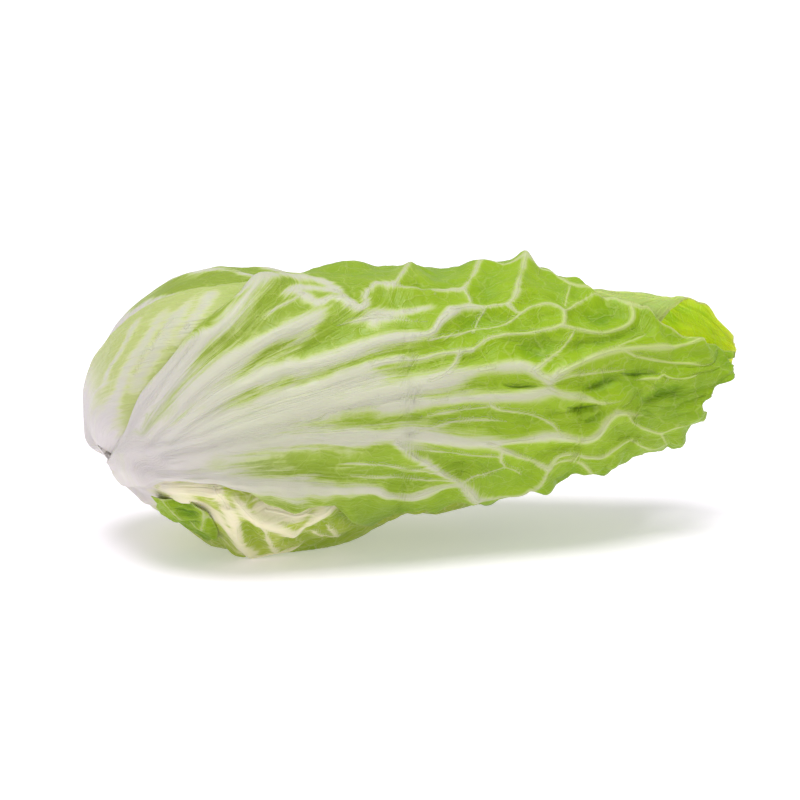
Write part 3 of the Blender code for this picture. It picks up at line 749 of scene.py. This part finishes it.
def fold_fields(folds, places, outward):
    """How deep folds are pressed into a leaf, and the distance from the narrow ones, along which
    the finish paints a dark line of shade.
    """
    fold, slit_shade = np.zeros(len(places)), np.full(len(places), FAR_OFF)
    for line, deep, wide in folds:
        far, side, gone = beside(line, places, outward)
        depth = deep / 1000.0 * np.exp(-(far / (wide / 1000.0)) ** 2)
        if len(line) > 3:
            depth = depth * np.sin(math.pi * np.clip(gone, 0.0, 1.0)) ** 0.7
        fold = np.where(np.abs(depth) > np.abs(fold), depth, fold)
        if wide < SLIT_WIDTH:
            far = far / (0.06 + np.sin(math.pi * gone) ** 0.5)
            slit_shade = np.where(far < np.abs(slit_shade), sided(far, side), slit_shade)
    return fold, slit_shade * 1000.0


def stream_of(lanes, places, outward, across):
    """A number that stays the same along a leaf's fibres and grows from one rib to the next."""
    if not lanes:
        return across * 4.0
    total, weight = np.zeros(len(places)), np.zeros(len(places))
    for line, lane in lanes:
        share = 1.0 / (beside(line, places, outward)[0] + 0.0015) ** 2
        total += share * lane
        weight += share
    return total / weight


def uneven(points, size):
    """Smooth chance unevenness between -1 and 1 whose bumps are about size across."""
    return np.array([noise.noise(Vector(point)) for point in points / size])


def grain(stream, along, close, long, seed):
    """Unevenness drawn out along a leaf's fibres, close across them and long along them."""
    return uneven(np.stack([stream * close, along / long, along * 0.0 + seed], axis=-1), 1.0)


def pucker_of(base, along, stream, share, pale):
    """A leaf's puckers and creases, which fade on its fleshy parts, and its fibres."""
    crease = np.maximum(1.0 - np.abs(grain(stream, along, 2.4, 0.026, 3.0)) / CREASE_WIDTH, 0.0)
    pucker = sum(high * uneven(base, size) for high, size in PUCKERS) - CREASE_DEPTH * crease
    fibres = (0.0006 * grain(stream, along, 3.0, 0.030, 0.0)
              + 0.0002 * grain(stream, along, 8.0, 0.018, 7.0))
    return (pucker * smooth(share / 0.5 + 0.05) * (1.0 - 0.7 * pale)
            + fibres * smooth(share / 0.3))


def frill_of(leaf, along, across, inside, share):
    """How far a leaf's waved margin stands out."""
    number = NUMBER[leaf.name]
    edge = np.exp(-np.maximum(inside, 0.0) / FRILL_REACH) * smooth(share / 0.35)
    if leaf.name == "leaf_front":
        edge = edge * (1.0 - 0.85 * smooth(across * 4.0) * (1.0 - smooth((share - 0.4) / 0.15)))
    if leaf.name == "leaf_scrap":
        edge = edge * (1.0 - smooth(across * 3.0))
    if leaf.name == "leaf_back":
        edge = edge * smooth((share - 0.45) / 0.25)
    wave = 0.5 + 0.5 * np.sin(along / WAVE_STEP + across * 5.0 + number * 0.857)
    ripple = 0.5 + 0.5 * np.sin(along / RIPPLE_STEP + across * 9.0 + number)
    return leaf.frill / 1000.0 * edge * (0.6 * wave + 0.4 * ripple)


def bearing_of(leaf, along, around, across, inside, flow):
    """How far a leaf flares or crumples, or draws its margin in to the leaf below."""
    if leaf.name == "leaf_tip":
        return TIP_FLARE * smooth((along - FLARE_START) / FLARE_REACH)
    if leaf.name == "leaf_underside":
        slant = around * girth(along) + CRUMPLE_SLANT * along
        waves = CRUMPLE_HEIGHT * (0.5 + 0.5 * np.sin(2.0 * math.pi * slant / CRUMPLE_STEP))
        drawn = np.clip(1.0 - flow / DRAWN_REACH, 0.0, 1.0) * (around < DRAWN_BELOW)
        return waves * (1.0 - drawn) + DRAWN_LIFT * drawn
    upper = -across if leaf.name == "leaf_back" else across
    hug = np.exp(-np.maximum(inside, 0.0) / HUG_REACH) * smooth(upper * 3.0)
    return -HUGGING.get(leaf.name, 0.0) * hug * (1.0 - smooth((along - HUG_END) / HUG_FADE))


def mesh_of(bm, name):
    """What was modelled, as a mesh."""
    mesh = bpy.data.meshes.new(name)
    bm.to_mesh(mesh)
    bm.free()
    return mesh


def points_of(mesh):
    """Where a mesh's points are."""
    flat = np.zeros(len(mesh.vertices) * 3, np.float32)
    mesh.vertices.foreach_get("co", flat)
    return flat.reshape(-1, 3).astype(float)


def blade_mesh(name, columns, rows):
    """A grid with a second one behind it, joined round the rim, and each point's place on it."""
    bm = bmesh.new()
    bmesh.ops.create_grid(bm, x_segments=columns, y_segments=rows, size=1.0)
    rim = [edge for edge in bm.edges if edge.is_boundary]
    count = len(bm.verts)
    copy = bmesh.ops.duplicate(bm, geom=bm.verts[:] + bm.edges[:] + bm.faces[:])["geom"]
    back_faces = [item for item in copy if isinstance(item, bmesh.types.BMFace)]
    back_rim = [item for item in copy if isinstance(item, bmesh.types.BMEdge) and item.is_boundary]
    bmesh.ops.reverse_faces(bm, faces=back_faces)
    bmesh.ops.bridge_loops(bm, edges=rim + back_rim)
    bmesh.ops.recalc_face_normals(bm, faces=bm.faces[:])
    mesh = mesh_of(bm, name)
    grid = points_of(mesh)[:count]
    return mesh, grid[:, 0], (grid[:, 1] + 1.0) / 2.0


def finish_mesh(mesh, points, fields, places, material):
    """Moves a mesh's points to their places, and stores what its finish reads."""
    mesh.vertices.foreach_set("co", points.astype(np.float32).ravel())
    for name, values in fields.items():
        attribute = mesh.attributes.new(name, "FLOAT", "POINT")
        attribute.data.foreach_set("value", values.astype(np.float32))
    corners = np.zeros(len(mesh.loops), np.int32)
    mesh.loops.foreach_get("vertex_index", corners)
    layer = mesh.uv_layers.new(name="place")
    layer.data.foreach_set("uv", places[corners].astype(np.float32).ravel())
    mesh.shade_smooth()
    mesh.materials.append(material)
    mesh.update()
    bm = bmesh.new()
    bm.from_mesh(mesh)
    if bm.calc_volume(signed=True) < 0.0:
        bmesh.ops.reverse_faces(bm, faces=bm.faces[:])
        bm.to_mesh(mesh)
    bm.free()


def show(mesh, node):
    """Puts a finished mesh in the scene in place of the frame's node."""
    piece = bpy.data.objects.new(node + "_fine", mesh)
    bpy.context.scene.collection.objects.link(piece)
    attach(piece, "root")
    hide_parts(node)


def make_leaf(name, veins, folds, lanes, material, slot):
    """One leaf of the head, fine enough to carry its veins, folds and waved margin."""
    number = NUMBER[name]
    leaf = LEAVES[number]
    mesh, u, v = blade_mesh(name + "_fine", leaf.columns, leaf.rows)
    along, around = leaf_places(leaf, u, v)
    across, inside = place_in(leaf, along, around)
    share = grown(leaf, along)
    base, outward = ground(number, along, around)
    high, pale, thread, flow = vein_fields(veins, base, outward)
    if name == "leaf_back":
        high = high * (0.25 + 0.75 * smooth((share - 0.15) / 0.25))
    fold, slit_shade = fold_fields(folds, base, outward)
    stream = stream_of(lanes, base, outward, across)
    pucker = pucker_of(base, along, stream, share, pale)
    shape = (high - fold + pucker + frill_of(leaf, along, across, inside, share)
             + bearing_of(leaf, along, around, across, inside, flow))
    lift = lift_under(number, along, around) + shape * bare(number, along, around)
    if name.startswith("leaf_inner"):
        lift = lift - CURL * smooth((along - CURL_START) / CURL_REACH)
    if name == "leaf_underside":
        low = head_point(along, around, lift)
        off = [(low[:, i] - REST_PLACE[i]) / REST_REACH[i] for i in (0, 1)]
        lift = lift + REST_SAG * np.exp(-((off[0] ** 2 + off[1] ** 2) ** 2))
    thin = RIM_SHARE + (1.0 - RIM_SHARE) * smooth(inside / RIM_REACH)
    outer = head_point(along, around, lift + thickness(leaf, along, around) * thin)
    inner = head_point(along, around, lift)
    if name == "leaf_underside":
        outer[:, 2] = np.maximum(outer[:, 2], 0.0)
        inner[:, 2] = np.maximum(inner[:, 2], FLAT_BLADE)
    # Painted shade: the valleys between veins and the folds are marked for a deeper green, partly
    # the leaf's own darker green and partly shade painted in
    hollow_shade = np.clip(0.70 - high / 0.0036, 0.0, 1.0) * smooth(share / 0.5) - pucker / 0.0040
    hollow_shade = np.clip(hollow_shade + np.maximum(fold, 0.0) / 0.0028, 0.0, 1.4)
    ripe = (along - 0.015) / 0.300 * RIPENING.get(name, 1.0)
    fields = {"pale": pale, "thread": thread, "hollow_shade": hollow_shade, "slit_shade": slit_shade, "stream": stream,
              "grown": np.clip(ripe, GREENEST.get(name, 0.0), 1.0), "inside": inside * 1000.0}
    fields = {key: np.tile(values, 2) for key, values in fields.items()}
    # painted light: the tip leaf's inner side takes its ripest colour, the bright lime of light
    # shining through it, while its outer side keeps the duller young colour
    if name == "leaf_tip":
        count = len(pale)
        fields["pale"][:count] *= 0.7
        fields["pale"][count:] *= 0.3
        fields["grown"][:count] = TIP_OUTSIDE
        fields["grown"][count:] = 1.0
        fields["thread"][count:] = FAR_OFF * 1000.0
    places = np.tile(np.stack([along, around * girth(along)], axis=-1) * 10.0, (2, 1))
    finish_mesh(mesh, np.concatenate([outer, inner]), fields, places, material)
    show(mesh, name)


def heart_lift(along, around):
    """The heart's own folded leaves, as margins wound round it in relief."""
    wound = (around / (2 * math.pi) * WINDS + along / WIND_LENGTH) % 1.0
    crest = smooth(1.0 - wound) * WIND_HEIGHT
    taper = HEART_TAPER * smooth((along - TAPER_START) / TAPER_REACH)
    return crest * smooth(along / WIND_FADE - 1.0) + HEART_SINK - taper, wound


def ring_middle(along):
    """The middle of the heart's ring at a distance along the head."""
    around = np.linspace(-math.pi, math.pi, 72, endpoint=False)
    along = np.full(72, along)
    return head_point(along, around, heart_lift(along, around)[0]).mean(axis=0)


def make_heart(material):
    """The dense heart: a closed head of folded leaves, whose open end shows their margins."""
    bm = bmesh.new()
    bmesh.ops.create_uvsphere(bm, u_segments=180, v_segments=HEART_RINGS, radius=1.0)
    mesh = mesh_of(bm, "heart_fine")
    ball = points_of(mesh)
    around = np.arctan2(ball[:, 1], ball[:, 0])
    ring = np.arccos(np.clip(-ball[:, 2], -1.0, 1.0)) / math.pi * HEART_RINGS
    span = HEART_RINGS - FOOT_RINGS - MOUTH_RINGS
    share = np.clip((ring - FOOT_RINGS) / span, 0.0, 1.0)
    along = HEART_START + share * (HEART_END - HEART_START)
    opening = smooth((share - OPEN_END) / (1.0 - OPEN_END))
    along = along + opening * OPEN_DEPTH * np.sin(around * OPEN_WAVES)
    lift, wound = heart_lift(along, around)
    chance = uneven(np.stack([along, around * 0.02, around * 0.0], axis=-1), 0.02)
    ribs = 0.0003 * np.sin(around * 31.0 + 4.0 * chance) * smooth(share / 0.3)
    point = head_point(along, around, lift + ribs)
    foot, mouth = ring_middle(HEART_START), ring_middle(HEART_END)
    near_foot = np.clip(ring / FOOT_RINGS, 0.0, 1.0)[:, None]
    point = np.where(near_foot < 1.0, foot + (point - foot) * near_foot, point)
    out = np.clip((HEART_RINGS - ring) / MOUTH_RINGS, 0.0, 1.0)
    whorl = (around / (2 * math.pi) * 2.0 + out * 2.4) % 1.0
    sunk = mouth + (point - mouth) * out[:, None]
    sunk[:, 0] += 0.0035 * smooth(whorl * 4.0) * smooth((1.0 - whorl) * 1.3) * out ** 0.5
    sunk[:, 0] -= MOUTH_DEPTH * (1.0 - out ** 2)
    point = np.where(out[:, None] < 1.0, sunk, point)
    seam = np.minimum(wound, 1.0 - wound) * 12.0
    # painted shade: the hollow and slit marks darken the seams between the wound leaves
    fields = {
        "pale": np.clip(0.5 + 0.4 * np.sin(around * 15.5), 0.0, 1.0) * (1.0 - 0.6 * share),
        "thread": np.full(len(point), 4.0), "hollow_shade": 1.0 - smooth(seam / 4.0),
        "grown": 0.15 + 0.5 * share, "inside": seam + 0.2,
        "slit_shade": np.where(share > 0.15, seam, 4.0), "stream": around * 5.0,
    }
    places = np.stack([along, around * 0.05], axis=-1) * 10.0
    finish_mesh(mesh, point, fields, places, material)
    show(mesh, "heart")


def weather_stem(bm):
    """Dents a stump all over and cuts shallow leaf scars into its wall."""
    for vert in bm.verts:
        turn = math.atan2(vert.co.y, vert.co.x)
        reach = math.hypot(vert.co.x, vert.co.y)
        dent = 0.00025 * noise.noise(vert.co / 0.003)
        scar = 0.0004 * max(0.0, math.sin(turn * 7.0 + vert.co.z / 0.0012))
        grow = 1.0 + (dent - scar * min(1.0, reach / STEM_RADIUS) ** 4) / max(reach, 0.002)
        vert.co = (vert.co.x * grow, vert.co.y * grow, vert.co.z + dent)


def make_stem(material):
    """The short stump that the leaves grow from, with its cut face."""
    angles = np.radians([0.0, 120.0, 240.0])
    ring = [Vector(point) for point in head_point(np.full(3, HEART_START), angles, HEART_SINK)]
    foot = sum(ring, Vector()) / 3
    outward = (ring[2] - ring[0]).cross(ring[1] - ring[0]).normalized()
    if outward.x > 0.0:
        outward.negate()
    bm = bmesh.new()
    bmesh.ops.create_cone(bm, cap_ends=True, segments=96, radius1=STEM_RADIUS,
                          radius2=STEM_RADIUS * STEM_NARROWING, depth=STEM_LENGTH)
    walls = [edge for edge in bm.edges if abs(edge.verts[0].co.z - edge.verts[1].co.z) > 1e-4]
    bmesh.ops.subdivide_edges(bm, edges=walls, cuts=10, use_grid_fill=True)
    rim = [edge for edge in bm.edges if len(edge.link_faces) == 2
           and max(len(face.verts) for face in edge.link_faces) > 4]
    bmesh.ops.bevel(bm, geom=rim, offset=STEM_RIM, offset_type="OFFSET", segments=4,
                    profile=0.5, affect="EDGES", material=-1)
    for width in STEM_RINGS:
        caps = [face for face in bm.faces if len(face.verts) > 4]
        bmesh.ops.inset_region(bm, faces=caps, thickness=width, use_even_offset=True)
    weather_stem(bm)
    reach = np.array([math.hypot(vert.co.x, vert.co.y) for vert in bm.verts]) * 1000.0
    turn = Vector((0.0, 0.0, 1.0)).rotation_difference(outward).to_matrix().to_4x4()
    place = Matrix.Translation(foot + outward * (STEM_LENGTH / 2 + STEM_GAP))
    bmesh.ops.transform(bm, matrix=place @ turn, verts=bm.verts[:])
    mesh = mesh_of(bm, "stem_fine")
    points = points_of(mesh)
    finish_mesh(mesh, points, {"reach": reach}, points[:, :2] * 10.0, material)
    show(mesh, "stem")


class Dye:
    """The nodes of a finish, with short names for the sums, ramps and mixes among them."""

    def __init__(self, tree):
        self.tree = tree

    def fill(self, node, sockets):
        """Gives a node's sockets their values and links."""
        for name, value in sockets.items():
            if isinstance(value, bpy.types.NodeSocket):
                self.tree.links.new(value, node.inputs[name])
            else:
                node.inputs[name].default_value = value

    def put(self, kind, sockets=None, **settings):
        """Adds a node."""
        node = self.tree.nodes.new(kind)
        for name, value in settings.items():
            setattr(node, name, value)
        self.fill(node, sockets or {})
        return node

    def sum(self, operation, a, b=0.0):
        """The result of arithmetic on two values."""
        return self.put("ShaderNodeMath", {0: a, 1: b}, operation=operation).outputs[0]

    def times(self, a, b):
        return self.sum("MULTIPLY", a, b)

    def plus(self, a, b):
        return self.sum("ADD", a, b)

    def less(self, a, b):
        return self.sum("SUBTRACT", a, b)

    def ramp(self, value, low, high, to_low=0.0, to_high=1.0):
        """A value brought smoothly from one range to another."""
        node = self.put("ShaderNodeMapRange",
                        {0: value, 1: low, 2: high, 3: to_low, 4: to_high},
                        interpolation_type="SMOOTHSTEP")
        return node.outputs[0]

    def blend(self, share, a, b):
        """Two colours mixed by a share."""
        return self.put("ShaderNodeMix", {0: share, 6: a, 7: b}, data_type="RGBA").outputs[2]

    def clouds(self, place, scale, detail, roughness=0.5):
        """Soft chance unevenness."""
        return self.put("ShaderNodeTexNoise", {"Vector": place, "Scale": scale, "Detail": detail,
                                               "Roughness": roughness}).outputs

    def fibres(self, along, long, stream, close):
        """Unevenness drawn out along a leaf's fibres."""
        place = self.put("ShaderNodeCombineXYZ", {0: self.times(along, long),
                                                  1: self.times(stream, close)})
        return self.clouds(place.outputs[0], 1.0, 4.0, 0.6)["Fac"]


def vein_nets(dye, place):
    """The coarse and the fine network of the smallest veins."""
    stir = dye.put("ShaderNodeVectorMath", {0: dye.clouds(place, 6.0, 3.0)["Color"], 3: 0.22},
                   operation="SCALE")
    moved = dye.put("ShaderNodeVectorMath", {0: place, 1: stir.outputs[0]}, operation="ADD")
    long = dye.put("ShaderNodeMapping", {"Vector": moved.outputs[0], "Scale": (0.62, 1.0, 1.0)})
    nets = []
    for scale, width in NETS:
        cells = dye.put("ShaderNodeTexVoronoi", {"Vector": long.outputs[0], "Scale": scale},
                        feature="DISTANCE_TO_EDGE", voronoi_dimensions="2D")
        nets.append(dye.ramp(cells.outputs["Distance"], 0.0, width, 1.0, 0.0))
    return nets


def leaf_pattern():
    """Colour, roughness and relief of a leaf blade, from its veins and fine network, with painted
    shade in its hollows and narrow folds.
    """
    tree = bpy.data.node_groups.new("leaf pattern", "ShaderNodeTree")
    for way, kind, names in (("INPUT", "Vector", ("Place",)), ("INPUT", "Float", MARKS),
                             ("INPUT", "Color", TINT_NAMES), ("OUTPUT", "Color", ("Color",)),
                             ("OUTPUT", "Float", ("Roughness", "Height"))):
        for name in names:
            tree.interface.new_socket(name=name, in_out=way, socket_type="NodeSocket" + kind)
    dye = Dye(tree)
    given = dye.put("NodeGroupInput").outputs
    place, stream = given["Place"], given["Stream"]
    ripeness, hollow_shade = given["Grown"], given["Hollow_shade"]
    coarse, fine = vein_nets(dye, place)
    run = dye.put("ShaderNodeSeparateXYZ", {0: place}).outputs[0]
    streak = dye.less(dye.fibres(run, 4.0, stream, 9.0), 0.5)
    island = dye.less(dye.fibres(run, 5.0, stream, 1.7), 0.5)
    wobble = dye.less(dye.clouds(place, 24.0, 2.0)["Fac"], 0.5)
    far = dye.plus(dye.sum("ABSOLUTE", given["Thread"]), dye.times(wobble, 0.5))
    thread = dye.ramp(far, 0.1, 0.62, 1.0, 0.0)

    # the blade between its veins
    ripe = dye.ramp(ripeness, 0.12, 0.68)
    colour = dye.blend(ripe, given["Young"], given["Green"])
    # painted shade: hollows and folds turn toward the deep green, partly the leaf's own darker
    # green
    blotch = dye.ramp(dye.clouds(place, 9.0, 5.0)["Fac"], 0.25, 0.7, 0.35, 1.0)
    deep = dye.times(dye.times(hollow_shade, blotch), ripe)
    colour = dye.blend(deep, colour, given["Deep"])
    net = dye.sum("MAXIMUM", dye.times(coarse, 0.3), dye.times(fine, 0.16))
    colour = dye.blend(net, colour, given["Lime"])
    colour = dye.blend(dye.ramp(given["Inside"], 0.2, 1.4, 0.4, 0.0), colour, given["Lime"])

    # how pale it is near its ribs and its foot
    reach = dye.ramp(stream, 3.0, 6.5, 0.20, 0.34)
    foot = dye.ramp(dye.sum("DIVIDE", ripeness, reach), 0.25, 0.95, 1.0, 0.0)
    tone = dye.times(island, dye.ramp(ripeness, 0.35, 0.65, 1.5, 0.2))
    tone = dye.plus(tone, dye.times(foot, 0.8))
    tone = dye.plus(tone, dye.ramp(ripeness, 0.4, 0.7, 0.10, 0.0))
    tone = dye.less(tone, dye.times(hollow_shade, 0.22))
    tone = dye.plus(given["Pale"], tone)
    tone = dye.plus(tone, dye.times(streak, dye.ramp(ripeness, 0.5, 0.8, 1.15, 0.5)))
    pale = dye.ramp(tone, 0.24, 0.98)

    rib = dye.blend(dye.ramp(ripeness, 0.50, 0.95, 0.0, 0.7), given["Rib"], given["Lime"])
    rib = dye.blend(dye.ramp(ripeness, 0.08, 0.26, 1.0, 0.0), rib, given["White"])
    colour = dye.blend(dye.times(dye.ramp(tone, 0.10, 0.55), 0.75), colour, given["Lime"])
    colour = dye.blend(pale, colour, rib)
    colour = dye.blend(dye.times(foot, 0.6), colour, given["White"])
    crest = dye.blend(dye.ramp(ripeness, 0.3, 0.8, 0.1, 0.6), rib, given["Lime"])
    shown = dye.times(thread, dye.ramp(ripeness, 0.2, 0.5, 0.1, 0.6))
    colour = dye.blend(shown, colour, crest)
    # painted shade: a dark green line along the narrow folds
    dark = dye.ramp(dye.sum("ABSOLUTE", given["Slit_shade"]), 0.05, 0.55, 0.6, 0.0)
    colour = dye.blend(dark, colour, SLIT_SHADE_GREEN)

    height = dye.plus(dye.times(coarse, 0.35), dye.times(fine, 0.2))
    height = dye.times(height, dye.less(1.0, dye.times(pale, 0.85)))
    height = dye.plus(height, dye.times(thread, 0.6))
    height = dye.plus(height, dye.times(streak, 2.0))
    rough = dye.ramp(streak, -0.2, 0.2, 0.34, 0.5)
    dye.fill(dye.put("NodeGroupOutput"), {"Color": colour, "Roughness": rough, "Height": height})
    return tree


def new_finish(name):
    """A new material, its nodes and its shader."""
    material = bpy.data.materials.new(name)
    material.use_nodes = True
    return material, Dye(material.node_tree), material.node_tree.nodes["Principled BSDF"]


def leaf_finish(name, pattern, tints, glow=0.18, glow_depth=0.0012):
    """A soft-gloss leaf that lets a little light through."""
    material, dye, shader = new_finish(name)
    given = {"Place": dye.put("ShaderNodeUVMap", uv_map="place").outputs[0]}
    for mark in MARKS:
        given[mark] = dye.put("ShaderNodeAttribute", attribute_name=mark.lower()).outputs["Fac"]
    given.update(zip(TINT_NAMES, tints + (WHITE,)))
    group = dye.put("ShaderNodeGroup", node_tree=pattern)
    dye.fill(group, given)
    bump = dye.put("ShaderNodeBump", {"Height": group.outputs["Height"], "Strength": 0.6,
                                      "Distance": 0.0006})
    dye.fill(shader, {"Base Color": group.outputs["Color"],
                      "Roughness": group.outputs["Roughness"], "Normal": bump.outputs["Normal"],
                      "Specular IOR Level": 0.28, "Subsurface Weight": glow,
                      "Subsurface Radius": (0.6, 1.0, 0.2), "Subsurface Scale": glow_depth})
    return material


def stem_finish():
    """A moist cut stem, tan where it has dried round its middle and in rings."""
    material, dye, shader = new_finish("cut stem")
    reach = dye.put("ShaderNodeAttribute", attribute_name="reach").outputs["Fac"]
    place = dye.put("ShaderNodeTexCoord").outputs["Object"]
    stain = dye.clouds(place, 380.0, 5.0)["Fac"]
    rings = dye.times(dye.sum("SINE", dye.times(reach, 2.2)), 0.12)
    dry = dye.plus(dye.ramp(reach, 3.0, 9.0, 0.40, 0.0), rings)
    dry = dye.times(dry, dye.ramp(stain, 0.3, 0.7, 0.4, 1.3))
    bump = dye.put("ShaderNodeBump", {"Height": stain, "Strength": 0.5, "Distance": 0.0004})
    dye.fill(shader, {"Base Color": dye.blend(dry, STEM_PALE, STEM_TAN),
                      "Normal": bump.outputs["Normal"], "Roughness": 0.5,
                      "Specular IOR Level": 0.35})
    return material


# What the leaves' meshes say about each point, and the colours of a leaf's finish
MARKS = ("Pale", "Thread", "Hollow_shade", "Grown", "Inside", "Stream", "Slit_shade")
TINT_NAMES = ("Green", "Deep", "Young", "Lime", "Rib", "White")
NETS = ((11.0, 0.055), (27.0, 0.09))

GREEN = (0.31, 0.485, 0.006, 1.0)
# Painted shade: this and the other deep colours below darken the leaves' hollows and folds, partly
# their own deeper green
SHADED_DEEP_GREEN = (0.18, 0.345, 0.001, 1.0)
YOUNG_GREEN = (0.27, 0.37, 0.035, 1.0)
# Painted shade in the narrow folds
SLIT_SHADE_GREEN = (0.08, 0.16, 0.004, 1.0)
LIME = (0.52, 0.63, 0.16, 1.0)
RIB = (0.60, 0.61, 0.45, 1.0)
LEFT_GREEN = (0.50, 0.57, 0.20, 1.0)
TIP_DULL = (0.31, 0.41, 0.165, 1.0)
TIP_LIME = (0.54, 0.74, 0.16, 1.0)
TIP_SHADED_DEEP = (0.42, 0.68, 0.01, 1.0)
WHITE = (0.67, 0.635, 0.60, 1.0)
CREAM = (0.76, 0.75, 0.42, 1.0)
PALE_LIME = (0.64, 0.68, 0.34, 1.0)
# Painted light: the glow of light shining through the thin tip leaf
BACKLIT_LIME = (0.62, 0.90, 0.02, 1.0)
INNER_SHADED_DEEP = (0.50, 0.62, 0.14, 1.0)
HEART_YELLOW = (0.70, 0.70, 0.26, 1.0)
UNDER_GREEN = (0.46, 0.56, 0.055, 1.0)
UNDER_SHADED_DEEP = (0.24, 0.38, 0.006, 1.0)
UNDER_CREAM = (0.90, 0.86, 0.58, 1.0)
STEM_PALE = (0.68, 0.645, 0.59, 1.0)
STEM_TAN = (0.52, 0.38, 0.20, 1.0)
FLOOR_PALE = (0.88, 0.83, 0.92, 1.0)
LAMP_WHITE = (1.0, 1.0, 1.0, 1.0)

# Each leaf finish's colours: its ripe blade, its hollows (a deeper green that is partly painted
# shade), its young blade, its fine veins and its ribs, with how much and how deep it glows where
# that isn't as on the other leaves
FINISHES = {
    "outer leaf": ((GREEN, SHADED_DEEP_GREEN, YOUNG_GREEN, LIME, RIB),),
    # painted light: the thin leaf's ripe blade is the bright lime of light shining through it
    "thin leaf": ((BACKLIT_LIME, TIP_SHADED_DEEP, TIP_DULL, TIP_LIME, TIP_LIME), 0.8, 0.007),
    "pale leaf": ((UNDER_GREEN, UNDER_SHADED_DEEP, UNDER_GREEN, UNDER_CREAM, UNDER_CREAM),),
    "left leaf": ((LEFT_GREEN, GREEN, LEFT_GREEN, PALE_LIME, RIB),),
    "inner leaf": ((PALE_LIME, INNER_SHADED_DEEP, PALE_LIME, CREAM, RIB),),
    "heart leaf": ((HEART_YELLOW, GREEN, CREAM, CREAM, WHITE),),
}

# The leaves that the photograph shows: finish, slot, veins, folds, and how much higher and wider
# than drawn the veins are
SEEN_LEAVES = {
    "leaf_front": ("outer leaf", "outer_leaf", FRONT_VEINS, FRONT_FOLDS + FRONT_SWELLS, 1.5),
    "leaf_left": ("left leaf", "pale_leaf", LEFT_VEINS, ()),
    "leaf_underside": ("pale leaf", "pale_leaf", UNDER_VEINS, UNDER_FOLDS, 1.0, 1.15),
    "leaf_scrap": ("outer leaf", "outer_leaf", SCRAP_VEINS, SCRAP_FOLDS),
}

# The other leaves: finish, slot, pairs of side ribs, and their height and width
HIDDEN_LEAVES = {
    "leaf_back": ("outer leaf", "outer_leaf", 8, (0.8, 4.0), (9.0, 1.6)),
    "leaf_top": ("outer leaf", "outer_leaf", 7, (1.6, 2.2), (8.0, 1.6)),
    "leaf_tip": ("thin leaf", "outer_leaf", 8, (1.2, 2.6), (3.0, 1.0)),
    "leaf_back_low": ("outer leaf", "outer_leaf", 7, (1.6, 2.2), (7.0, 1.4)),
    "leaf_inner_low": ("inner leaf", "inner_leaf", 6, (0.4, 0.8), (3.0, 1.0)),
    "leaf_inner_high": ("inner leaf", "inner_leaf", 6, (0.4, 0.8), (3.0, 1.0)),
    "leaf_inner_back": ("inner leaf", "inner_leaf", 6, (0.4, 0.8), (3.0, 1.0)),
}


def make_surroundings():
    """A plain pale floor under soft studio light."""
    bm = bmesh.new()
    bmesh.ops.create_grid(bm, x_segments=1, y_segments=1, size=FLOOR_SIZE)
    mesh = mesh_of(bm, "floor")
    floor = bpy.data.objects.new("floor", mesh)
    bpy.context.scene.collection.objects.link(floor)
    material, dye, shader = new_finish("pale floor")
    dye.fill(shader, {"Base Color": FLOOR_PALE, "Roughness": 0.7, "Specular IOR Level": 0.2,
                      "Emission Color": LAMP_WHITE, "Emission Strength": FLOOR_GLOW})
    mesh.materials.append(material)
    world = bpy.data.worlds.new("studio")
    world.use_nodes = True
    Dye(world.node_tree).fill(world.node_tree.nodes["Background"],
                              {"Color": LAMP_WHITE, "Strength": SKY_STRENGTH})
    bpy.context.scene.world = world
    sun = bpy.data.lights.new("softbox", "SUN")
    sun.energy = SUN_STRENGTH
    sun.angle = SUN_SOFTNESS
    lamp = bpy.data.objects.new("softbox", sun)
    lamp.rotation_euler = Vector(SUN_WAY).to_track_quat("-Z", "Y").to_euler()
    bpy.context.scene.collection.objects.link(lamp)
    bpy.context.scene.view_settings.view_transform = "Standard"


def main():
    make_camera()
    make_surroundings()
    pattern = leaf_pattern()
    finishes = {name: leaf_finish(name, pattern, *look) for name, look in FINISHES.items()}
    make_heart(finishes["heart leaf"])
    make_stem(stem_finish())
    for name, (finish, slot, *drawn) in SEEN_LEAVES.items():
        make_leaf(name, *traced(name, *drawn), finishes[finish], slot)
    for name, (finish, slot, *ribs) in HIDDEN_LEAVES.items():
        make_leaf(name, grown_veins(name, *ribs), (), (), finishes[finish], slot)


main()
